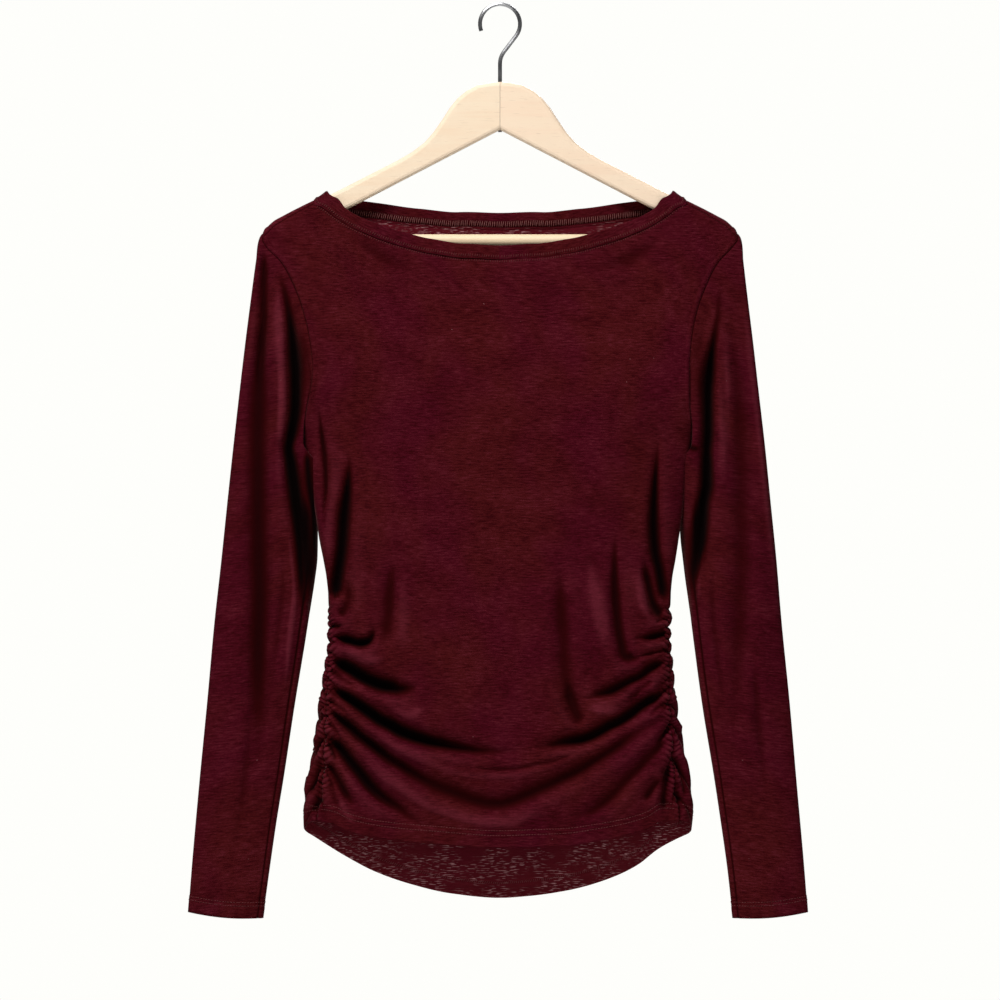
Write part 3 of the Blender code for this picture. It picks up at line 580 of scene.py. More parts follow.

# depth, half width, lip, share that fades in, share that fades out, then x, z, x, z along the fold.
# The lip is the raised roll on the fold's lower side. Each fold also gets a painted shade; a row of negative
# depth is a roll on its own, which gets a painted highlight
folds = {
    "front": [
        # left, from the armhole down
        (10.0, 5.0, 1.8, 0.50, 0.08, -137, -392, -135.5, -410, -137, -432, -140, -458, -142, -486,
         -145, -508, -149, -537),
        (4.6, 2.3, 0.9, 0.40, 0.35, -164, -350, -162, -368, -160, -386, -157, -410, -156, -434, -158, -456,
         -158, -480),
        (3.6, 3.8, 1.4, 0.30, 0.20, -137, -512, -136, -528, -138, -540, -143, -548, -148, -551),
        (2.9, 5.6, 1.6, 0.45, 0.30, -96, -490, -98, -524, -99.5, -548, -102, -562, -105, -574, -108, -584),
        # left, from the gathers
        (3.6, 2.0, 1.1, 0.05, 0.45, -154, -558, -147, -558, -139, -559),
        (9.4, 3.8, 2.8, 0.30, 0.45, -153, -565, -144, -568.5, -135, -571.5, -126, -573.5, -119, -572,
         -114, -565, -112, -554),
        (12.0, 6.2, 3.8, 0.16, 0.42, -155, -587, -149, -589.5, -144, -592, -135, -597, -126, -603,
         -117, -607.5, -108, -611, -99, -613, -90, -615, -80, -614, -68, -608),
        (4.0, 2.4, 1.6, 0.05, 0.40, -153, -598, -144, -604, -134, -610, -124, -616),
        (12.0, 6.0, 3.6, 0.10, 0.62, -155, -610, -148.5, -614, -144, -617.4, -135, -623.7, -126, -630,
         -117, -636.3, -108, -642.6, -99, -647, -90, -652.5, -81, -656, -72, -659, -63, -661.5, -54, -663.3,
         -36, -667, -18, -669.6, 0, -670.5, 14, -669, 30, -666),
        (3.6, 2.4, 1.5, 0.05, 0.40, -154, -624, -147, -629, -141, -633, -133, -640),
        (3.9, 6.2, 3.2, 0.03, 0.16, *longSwag),
        (6.4, 5.0, 1.0, 0.15, 0.60, *longSwag[:26]),
        (1.4, 2.0, 0.9, 0.35, 0.20, -38, -682, -18, -685.8, 0, -686.7, 18, -685, 36, -681.3, 45, -679.5,
         54, -676.5, 63, -673, 72, -669),
        (3.0, 2.0, 1.2, 0.05, 0.40, -155, -645, -151, -648, -146, -654, -142, -660),
        (8.4, 5.2, 3.0, 0.12, 0.60, -156, -652, -150, -660, -144, -668, -135, -679.5, -126, -690.3,
         -117, -701.5, -108, -710, -99, -716.5, -90, -722, -81, -729, -72, -734, -60, -738),
        (2.6, 1.8, 1.1, 0.06, 0.40, -156, -664, -151, -669, -148, -676, -146, -682),
        (4.8, 3.6, 2.4, 0.12, 0.40, -156, -678, -150, -688, -144, -699, -139, -708, -134, -715, -126, -721),
        (2.0, 2.6, 0.8, 0.20, 0.30, -152, -694, -150, -705, -147, -716, -143, -724),
        # right, from the armhole down
        (8.6, 4.2, 1.6, 0.60, 0.10, 143, -376, 141, -404, 139, -432, 138, -463, 140, -495, 143, -508,
         145, -520, 147, -531, 150, -541),
        (6.2, 4.0, 2.0, 0.35, 0.15, 129, -494, 131, -511, 134, -525, 137, -536, 140, -543, 145, -549,
         150, -551),
        (4.4, 4.4, 2.2, 0.55, 0.10, 104, -462, 103, -498, 104, -534, 106, -556, 109, -574, 113, -586,
         120, -587, 127, -581),
        (2.6, 6.4, 2.2, 0.35, 0.20, 55, -486, 54, -510, 55, -540, 57, -570, 59, -600, 63, -622, 69, -638,
         76, -650),
        (3.4, 5.0, 1.4, 0.50, 0.20, 60, -600, 63, -622, 69, -638, 74, -650),
        # right, from the gathers
        (3.0, 1.6, 1.1, 0.06, 0.35, 151, -552, 144, -553, 139, -556),
        (6.2, 3.2, 2.4, 0.20, 0.60, 152, -563, 143, -566, 135, -568, 127, -568.5, 120, -571),
        (3.0, 2.0, 1.2, 0.06, 0.40, 152, -577, 144, -580, 137, -582, 129, -584, 122, -590),
        (6.0, 4.6, 3.4, 0.16, 0.40, 153, -588, 144, -591, 135, -596, 126, -603, 117, -607, 108, -612,
         99, -616.5, 90, -619, 81, -622, 70, -624),
        (3.4, 3.0, 1.4, 0.15, 0.40, 138, -606, 128, -613, 120, -620, 112, -627),
        (8.0, 5.4, 3.6, 0.16, 0.36, 154, -612, 148, -615, 140, -621, 131, -626.5, 126, -630, 117, -637,
         108, -642.6, 99, -647, 90, -652.5, 81, -657, 72, -659.7, 63, -661, 54, -662.5, 45, -665, 36, -666,
         24, -667),
        (3.2, 2.2, 1.3, 0.06, 0.40, 153, -624, 147, -628, 140, -633, 132, -640),
        (3.0, 2.0, 1.2, 0.06, 0.40, 154, -649, 149, -653, 143, -659, 139, -666),
        (2.7, 5.0, 2.2, 0.10, 0.40, 154, -657, 148, -661, 142, -667, 135, -674, 126, -684, 117, -692.5,
         108, -702, 99, -711.5, 90, -719, 81, -724.5, 72, -727.5, 63, -730, 54, -734),
        (3.2, 3.6, 1.2, 0.20, 0.40, 144, -692, 138, -702, 132, -711, 125, -718),
        (4.6, 3.4, 2.4, 0.20, 0.20, 152, -680, 150, -692, 148, -704, 147, -714, 148, -726),
        # raised rolls, each with a painted highlight
        (-1.1, 7.0, 0.0, 0.45, 0.35, 77, -485, 83, -517, 88, -544, 92, -571, 93, -588),
        (-1.2, 3.8, 0.0, 0.40, 0.30, 125, -500, 127, -520, 129, -538, 134, -552),
        (-1.1, 4.0, 0.0, 0.40, 0.40, 76, -629, 86, -632, 99, -634, 112, -630),
        (-1.0, 4.8, 0.0, 0.45, 0.50, -98, -631, -90, -635, -81, -637, -72, -633, -60, -631),
        (-1.2, 4.2, 0.0, 0.25, 0.50, -142, -578, -131, -584, -121.5, -588, -110, -588, -98, -581),
        (-0.8, 3.6, 0.0, 0.20, 0.40, -146, -712, -140, -722, -134, -730, -126, -736),
        (-0.8, 3.8, 0.0, 0.20, 0.30, -126, -672, -117, -682, -108, -689.5, -99, -697.5, -90, -702, -81, -709,
         -72, -714, -63, -720, -45, -726, -27, -731.5, 0, -734.5, 9, -734.5, 27, -727.5, 45, -725.5,
         63, -719),
        (-0.6, 3.2, 0.0, 0.20, 0.30, -117, -652, -99, -663, -81, -672, -63, -680, -45, -687, -18, -692,
         9, -692, 36, -687, 54, -682),
        (-0.7, 7.0, 0.0, 0.40, 0.40, -92, -500, -88, -540, -86, -575, -84, -590),
        # below the neckband
        (1.6, 5.0, 0.5, 0.40, 0.50, -140, -203, -115, -221, -90, -234, -63, -241),
        (1.6, 5.0, 0.5, 0.40, 0.50, 151, -207, 126, -223, 101, -234, 72, -242),
        (0.9, 4.0, 0.3, 0.50, 0.50, 140, -221, 119, -234, 95, -244),
    ],
    # where the back panel wraps round to the front, outside the side seams
    "wrap": [
        (2.6, 1.9, 1.4, 0.30, 0.20, -157, -612, -160, -616, -165, -622),
        (2.8, 2.0, 1.4, 0.30, 0.20, -158, -634, -162, -641, -168, -650),
        (3.2, 2.2, 1.6, 0.30, 0.20, -158, -656, -163, -665, -168, -676, -171, -688),
        (3.6, 2.4, 1.8, 0.30, 0.20, -158, -672, -163, -684, -167, -696, -170, -712),
        (3.8, 2.4, 1.8, 0.30, 0.20, -158, -688, -162, -700, -165, -714, -167, -730),
        (2.6, 1.9, 1.4, 0.30, 0.20, 155, -610, 158, -615, 162, -621),
        (2.8, 2.0, 1.4, 0.30, 0.20, 156, -632, 160, -640, 165, -649),
        (3.2, 2.2, 1.6, 0.30, 0.20, 157, -648, 161, -656, 166, -668, 168, -680),
        (3.6, 2.3, 1.8, 0.30, 0.20, 156, -672, 160, -684, 164, -698, 167, -714),
        (3.0, 2.0, 1.6, 0.30, 0.20, 156, -690, 159, -702, 161, -716, 162, -730),
    ],
    "back": [
        (7.0, 5.0, 1.4, 0.35, 0.15, -143, -392, -140, -430, -143, -480, -149, -528),
        (3.4, 4.0, 0.9, 0.35, 0.30, -118, -470, -121, -512, -130, -548),
        (5.0, 4.6, 1.8, 0.16, 0.35, -156, -573, -146, -578, -134, -580, -112, -583, -96, -578),
        (9.0, 6.2, 3.0, 0.14, 0.35, -158, -600, -146, -607, -136, -613, -110, -630, -78, -644, -40, -650,
         -12, -650),
        (3.4, 2.6, 1.4, 0.16, 0.40, -158, -616, -148, -624, -136, -630, -124, -640),
        (7.5, 6.0, 2.4, 0.14, 0.40, -160, -628, -148, -638, -138, -645, -114, -663, -84, -680, -50, -691,
         -20, -695),
        (6.0, 5.6, 2.0, 0.14, 0.40, -160, -656, -150, -668, -142, -680, -122, -703, -96, -722),
        (4.0, 4.0, 1.4, 0.20, 0.35, -158, -692, -148, -712, -140, -730),
        (7.5, 5.0, 1.4, 0.35, 0.15, 146, -384, 141, -424, 142, -470, 148, -524),
        (3.0, 5.0, 0.9, 0.40, 0.35, 92, -500, 94, -545, 101, -580),
        (4.2, 3.8, 1.6, 0.20, 0.35, 148, -561, 140, -562, 130, -563, 116, -561),
        (8.5, 5.8, 3.0, 0.14, 0.35, 157, -585, 145, -591, 134, -597, 108, -612, 80, -622, 48, -626),
        (9.0, 6.2, 2.8, 0.14, 0.35, 158, -614, 146, -623, 134, -632, 106, -652, 70, -668, 34, -675, 6, -676),
        (3.2, 2.4, 1.3, 0.16, 0.40, 158, -632, 147, -643, 135, -654, 124, -662),
        (6.0, 5.6, 2.0, 0.14, 0.40, 160, -645, 150, -656, 140, -668, 116, -690, 86, -706, 58, -714),
        (4.2, 4.0, 1.4, 0.20, 0.35, 158, -684, 148, -708, 141, -732),
        (1.4, 5.0, 0.4, 0.40, 0.50, -120, -200, -96, -212, -66, -219),
        (1.4, 5.0, 0.4, 0.40, 0.50, 126, -202, 98, -215, 70, -221),
    ],
}


def smoothRun(points):
    # a curve through the points: cubic spans on the running length, one for each coordinate
    points = np.asarray(points, float)
    walked = np.concatenate([[0], np.cumsum(np.linalg.norm(np.diff(points, axis=0), axis=1))])
    at = np.linspace(0, walked[-1], int(walked[-1] / 1.2) + 8)
    columns = [through([(w, c) for w, c in zip(walked, points[:, k])], 1, at) for k in range(points.shape[1])]
    return np.stack(columns, -1)


def eased(t):
    t = np.clip(t, 0, 1)
    return t * t * (3 - 2 * t)


foldShape = {     # all widths are in half widths of the fold
    "reach": 7,                     # how far a fold is felt
    "foot": (0.3, 2.4),             # share and width of the trough's wide foot
    "roll": (2.0, 1.1),             # place and width of the lip
    "swell": (3.4, 1.9, 0.45),      # the same of the wide swell beyond it, and its share of the lip
    "fullShade": 10.5,              # depth at which a fold's painted shade is full
    "fullLight": 1.6,               # height at which a roll's painted highlight is full
    "core": 0.56,                   # the narrow bell's share of the painted shade
    "shadeFade": 0.30,              # the longest share over which a painted shade fades in
}


def bell(t):
    return np.exp(-(t**2))


def foldField(rows, x, z):
    # inward distance: for each fold a bell across its line, wider above than below, less a lip of a
    # second bell below it and a wide swell on both sides; all fade at the line's ends. The painted shade,
    # standing for how little light gets into the fold, is a narrow bell on a wide one that reaches further up
    # than down; a row of negative depth gets a painted highlight instead
    inward, shade, lit = np.zeros_like(x), np.zeros_like(x), np.zeros_like(x)
    footShare, footWidth = foldShape["foot"]
    rollAt, rollWidth = foldShape["roll"]
    swellAt, swellWidth, swellShare = foldShape["swell"]
    for depth, width, lip, fadeIn, fadeOut, *flat in rows:
        run = smoothRun(np.array(flat, float).reshape(-1, 2))
        reach = foldShape["reach"] * width
        low, high = run.min(0) - reach, run.max(0) + reach
        near = (x > low[0]) & (x < high[0]) & (z > low[1]) & (z < high[1])
        if not near.any():
            continue
        place = np.stack([x[near], z[near]], -1)
        away = place[:, None] - run[None]
        distance = np.hypot(away[..., 0], away[..., 1])
        nearest = distance.argmin(1)
        way = np.gradient(run, axis=0)
        way = (way / np.linalg.norm(way, axis=1, keepdims=True))[nearest]
        chosen = away[np.arange(len(place)), nearest]
        side = np.sign(way[:, 0] * chosen[:, 1] - way[:, 1] * chosen[:, 0])
        lower = np.where(np.abs(way[:, 0]) > 0.25, np.sign(way[:, 0]), 1.0) * side < 0
        level = np.clip(2 * np.abs(way[:, 0]), 0, 1)        # 0 for an upright fold, whose sides are alike
        across = distance.min(1)
        t = nearest / (len(run) - 1)
        fade = eased(t / fadeIn) * eased((1 - t) / fadeOut)
        opened = np.minimum(eased(t / max(fadeIn, 0.22)) * 0.55 + 0.45, 1) * fade**0.6
        grown = width * (0.35 + 0.65 * opened)
        trough = bell(across / (grown * np.where(lower, 1.1 - 0.15 * level, 1.1 + 0.2 * level)))
        trough += footShare * bell(across / (footWidth * grown))
        roll = bell((across - rollAt * grown) / (rollWidth * grown))
        roll *= 0.6 + 0.3 * np.where(lower, level, -level)
        swell = bell((across - swellAt * grown) / (swellWidth * grown)) * np.where(lower, 1.0, 0.8)
        inward[near] += fade * (depth * trough - lip * roll - swellShare * lip * swell)
        core = bell(across / (grown * np.where(lower, 0.95, 1.05)))
        wide = bell(across / (grown * np.where(lower, 1.8 - 0.4 * level, 1.8 + 1.1 * level)))
        if depth > 0:
            deep = min(1.0, depth / foldShape["fullShade"]) ** 0.75
            ends = eased(t / min(fadeIn, foldShape["shadeFade"])) * eased((1 - t) / fadeOut)
            mixed = foldShape["core"] * core + (1 - foldShape["core"]) * wide
            shade[near] = np.maximum(shade[near], deep * ends * mixed)
        else:
            pale = min(1.0, -depth / foldShape["fullLight"])
            lit[near] = np.maximum(lit[near], pale * fade * core)
    return inward, shade - lit * (1 - shade)


gathers = {
    # heights where the side seams pull in, and so the valleys between the puffs
    "left": [-500, -522, -542, -548.5, -553, -559, -571, -581.5, -593, -604.5, -613, -628, -637.5, -656, -682,
             -712, -745],
    "right": [-498, -518, -543.5, -559, -569, -580, -592.5, -604, -612, -627, -644.5, -674, -706, -745],
    "puff": {"front": 2.5, "back": 4.4},    # how far a puff stands out away from the seam
    "seamPuff": 2.8, "seamBlend": 6,        # and on the seam itself, the same for both panels
    "puffReach": {"front": 9.0, "back": 30.0},
    # height, slope of the gathers away from the seam
    "slope": [(-745, 2.0), (-686, 1.9), (-655, 1.3), (-640, 0.9), (-613, 0.8), (-590, 0.5), (-567, 0.2),
              (-545, -0.2), (-500, -0.4)],
    "lean": {"front": 1.0, "back": 0.8},
    "start": (-528, 26),                    # height where they start, and how far they take to grow
    "fade": (-700, 40, 0.5),                # height, length and share of their fading towards the hem
    "spanAt": 12,                           # valleys this far apart have a puff of its full height
    "pucker": 1.9, "puckerPitch": 4.8, "puckerReach": 7.0, "puckerLight": 1.0,
    "puffForm": (0.62, 0.66), "puckerForm": (0.7, 0.7),         # power of the sine, and level taken off
    # strength of the painted shade in the valleys and between the puckers; puckerLight above is the painted
    # highlight on them
    "valleyShade": 0.85, "puckerShade": 0.9,
}


def gathered(z):
    top, growth = gathers["start"]
    return eased((top - z) / growth)


def gatherField(side, base, fromSeam, seamName):
    # outward distance near one side seam: rounded puffs between valleys, leaning away from the seam,
    # and finer puckers on the seam itself; then the painted shade in the valleys and the painted highlight on
    # the puckers
    z = base[..., 2]
    valleys = np.array(gathers[seamName][::-1], float)
    lean = through(gathers["slope"], 1, z) * gathers["lean"][side]
    along = z + lean * fromSeam
    phase = np.interp(along, valleys, np.arange(len(valleys)))
    between = np.abs(np.sin(np.pi * phase))
    span = np.interp(along, (valleys[1:] + valleys[:-1]) / 2, np.diff(valleys))
    reach, onSeam = gathers["puffReach"][side], gathers["seamPuff"]
    fadeFrom, fadeLength, fadeShare = gathers["fade"]
    start = gathered(z) * (1 - fadeShare * eased((fadeFrom - z) / fadeLength))
    height = onSeam + (gathers["puff"][side] - onSeam) * eased(fromSeam / gathers["seamBlend"])
    height = height * np.clip(span / gathers["spanAt"], 0.5, 1.5)
    power, level = gathers["puffForm"]
    out = height * (between**power - level) * bell(fromSeam / reach) * start
    wobble = 1.3 * np.sin(z / 7.3) + 0.9 * np.sin(z / 3.1 + 1) - 0.6 * fromSeam
    knot = np.abs(np.sin(np.pi * (z + wobble) / gathers["puckerPitch"]))
    close = bell(fromSeam / gathers["puckerReach"]) * start
    power, level = gathers["puckerForm"]
    out += gathers["pucker"] * (knot**power - level) * close
    valley = (1 - between) ** 3 * bell(fromSeam / (1.1 * reach)) * start
    dark = np.maximum(gathers["valleyShade"] * valley, gathers["puckerShade"] * (1 - knot) ** 2 * close)
    return out, dark, gathers["puckerLight"] * knot**2 * close


surfaceFacts = {
    "seamRoll": 1.5,                # radius with which a piece turns in at a seam
    "seamRidge": 0.45, "seamRidgeAt": (2.0, 7.5),       # the allowance that shows beside an armhole
    # a painted shadow along each seam: its strength and width
    "seamShade": 0.85, "seamShadeWidth": 1.1,
    "neckShade": 0.4,               # share of it that is left along the neck
    "gatheredLoss": 0.35,           # and share that is lost among the gathers
    "underarmFade": 20,
    "hemDepth": 16.2, "hemLift": 0.45, "hemRows": (11.6, 16.0), "hemDent": 0.5, "dentWidth": 0.8,
    "unevenness": 0.55, "unevenFrom": 60,
    "foldsIn": 36, "shadesIn": 120, "unevenIn": 5,      # how steeply each comes in from a panel's side
    "wrapIn": 2.5,
    # a painted highlight on the strip of the back that lies over the shoulder: its strength, then distance
    # and width, x and fade
    "shoulderLight": 0.8, "shoulderAt": (-2, 7), "shoulderFrom": (160, 12),
    "spread": (8, 3),               # rows and columns over which the surroundings are averaged
    "sharedEdge": 4,                # how far from a side seam both panels move the same way
    "hollowAt": 3.2,                # a place this far below its surroundings counts as fully hollow
    "hollowShade": 0.42,            # and how much painted shade that alone gives it
}


def rolled(distance, radius):
    # how far a surface has turned in at a distance from its edge: a quarter round
    gone = np.clip(radius - distance, 0, radius)
    return radius - np.sqrt(np.maximum(radius**2 - gone**2, 0))


def ridge(distance, low, high):
    return eased((distance - low) / 1.2) * eased((high - distance) / 1.6)


def hollowness(height, rows, columns, closed=False):
    # how far each place lies below the cloth round it: a bell-weighted mean less the height itself,
    # and below zero where it is raised
    mean = height
    for axis, spread in ((0, rows), (1, columns)):
        weights = np.exp(-0.5 * (np.arange(-3 * spread, 3 * spread + 1) / spread) ** 2)
        mode = "wrap" if closed and axis else "edge"
        padded = np.pad(mean, [(3 * spread, 3 * spread) if k == axis else (0, 0) for k in (0, 1)], mode=mode)
        mean = np.apply_along_axis(np.convolve, axis, padded, weights / weights.sum(), "valid")
    return np.clip((mean - height) / surfaceFacts["hollowAt"], -1, 1)


def shaded(low, *shades):
    # one number for the painted shade: 1 in full painted shade, 0 on plain cloth, down to -1 for a painted
    # highlight on a raised place
    low = np.where(low < 0, 0.55 * low, low) - sum(np.clip(-s, 0, 1) for s in shades)
    lit = np.prod([1 - np.clip(s, 0, 1) for s in shades], axis=0)
    return 1 - (1 - surfaceFacts["hollowShade"] * np.clip(low, 0, 1)) * lit - np.clip(-low, 0, 1) * lit


# adds a painted shadow onto the painted shade number
def darkened(paintedShade, shade):
    return paintedShade + (1 - paintedShade) * shade


def seamShade(distance):
    # a seam's painted shadow, as a share of the painted shade number: full at the seam and gone 2 mm from it
    return surfaceFacts["seamShade"] * bell(distance / surfaceFacts["seamShadeWidth"])


def unevenness(x, z):
    # a slow uneven swell of the whole cloth, from a few waves of unlike length
    return (np.sin(x / 31 + 0.7 * np.sin(z / 57)) * np.sin(z / 43 + 0.5)
            + 0.6 * np.sin(x / 17 - z / 61 + 2.1) + 0.5 * np.sin(z / 23 + x / 90 + 4.0))


def aboveUnderarm(z):
    return eased((z - hang["underarm"]) / surfaceFacts["underarmFade"])


def sharedNormal(normal, xTop, z, fromSide):
    # along the side seams both panels move the same way, so that no gap opens between them
    seamAngle = np.radians(through(hang["seamAngle"], 1, z))
    shared = np.stack([np.sign(xTop) * np.sin(seamAngle), -np.cos(seamAngle), 0 * z], -1)
    own = np.clip(eased(fromSide / surfaceFacts["sharedEdge"]) + aboveUnderarm(z), 0, 1)[..., None]
    normal = normal * own + shared * (1 - own)
    return normal / np.linalg.norm(normal, axis=-1, keepdims=True)


def finePanel(side, base, xTop, h):
    # the panel with its folds, gathers, seams and hem, its cloth's running length, and its painted shade
    # number
    facts = surfaceFacts
    facing = -1 if side == "front" else 1
    x, z = base[..., 0], base[..., 2]
    fromEdge = 1 - np.abs(shareOf(xTop))
    inward, shade = foldField(folds[side], x, z)
    inward = inward * np.clip(fromEdge * facts["foldsIn"], 0, 1)
    shade = shade * np.clip(fromEdge * facts["shadesIn"], 0, 1)
    uneven = facts["unevenness"] * unevenness(x, z) * eased(h / facts["unevenFrom"])
    inward -= uneven * np.clip(fromEdge * facts["unevenIn"], 0, 1)
    grid = base.copy()
    grid[..., 1] -= facing * inward

    across, down = walkedAlong(base, 1), walkedAlong(base, 0)
    fromLeft, fromRight, toHem = across, across[:, -1:] - across, down[-1:] - down
    fromSide = np.minimum(fromLeft, fromRight)
    leftOut, leftShade, leftLit = gatherField(side, base, fromLeft, "left")
    rightOut, rightShade, rightLit = gatherField(side, base, fromRight, "right")
    out, gatherShade, lit = leftOut + rightOut, np.maximum(leftShade, rightShade), leftLit + rightLit
    if side == "back":
        # a painted highlight on the strip that lies over the shoulder
        (at, width), (start, fade) = facts["shoulderAt"], facts["shoulderFrom"]
        lit = lit + facts["shoulderLight"] * bell((h - at) / width) * eased((np.abs(xTop) - start) / fade)
        # the part that has come round to the front has folds of its own, and their painted shade
        wrapIn, wrapShade = foldField(folds["wrap"], x, z)
        cameRound = base[..., 1] < 0
        shade = np.where(cameRound, wrapShade, shade)
        out -= wrapIn * cameRound * eased(fromSide / facts["wrapIn"])
    out -= rolled(fromSide, facts["seamRoll"]) + rolled(down, facts["seamRoll"])
    out += facts["seamRidge"] * ridge(fromSide, *facts["seamRidgeAt"]) * aboveUnderarm(z)
    out += facts["hemLift"] * eased(facts["hemDepth"] - toHem)
    for row in facts["hemRows"]:
        out -= facts["hemDent"] * bell((toHem - row) / facts["dentWidth"])

    normal = normalsOf(softened(grid, 2), np.array([0.0, facing, 0.0]))
    normal = sharedNormal(normal, xTop, z, fromSide)
    # painted shade from the hollows, folds, gathers and seams, and painted highlight on raised places
    alongNeck = np.where(np.abs(xTop[0]) < neck["end"], facts["neckShade"], 1.0)
    alongSide = 1 - facts["gatheredLoss"] * gathered(z)
    seams = np.maximum(seamShade(fromSide) * alongSide, seamShade(down) * alongNeck)
    paintedShade = shaded(hollowness(out - inward, *facts["spread"]) - lit, shade, gatherShade)
    return grid + normal * out[..., None], across, darkened(paintedShade, seams)


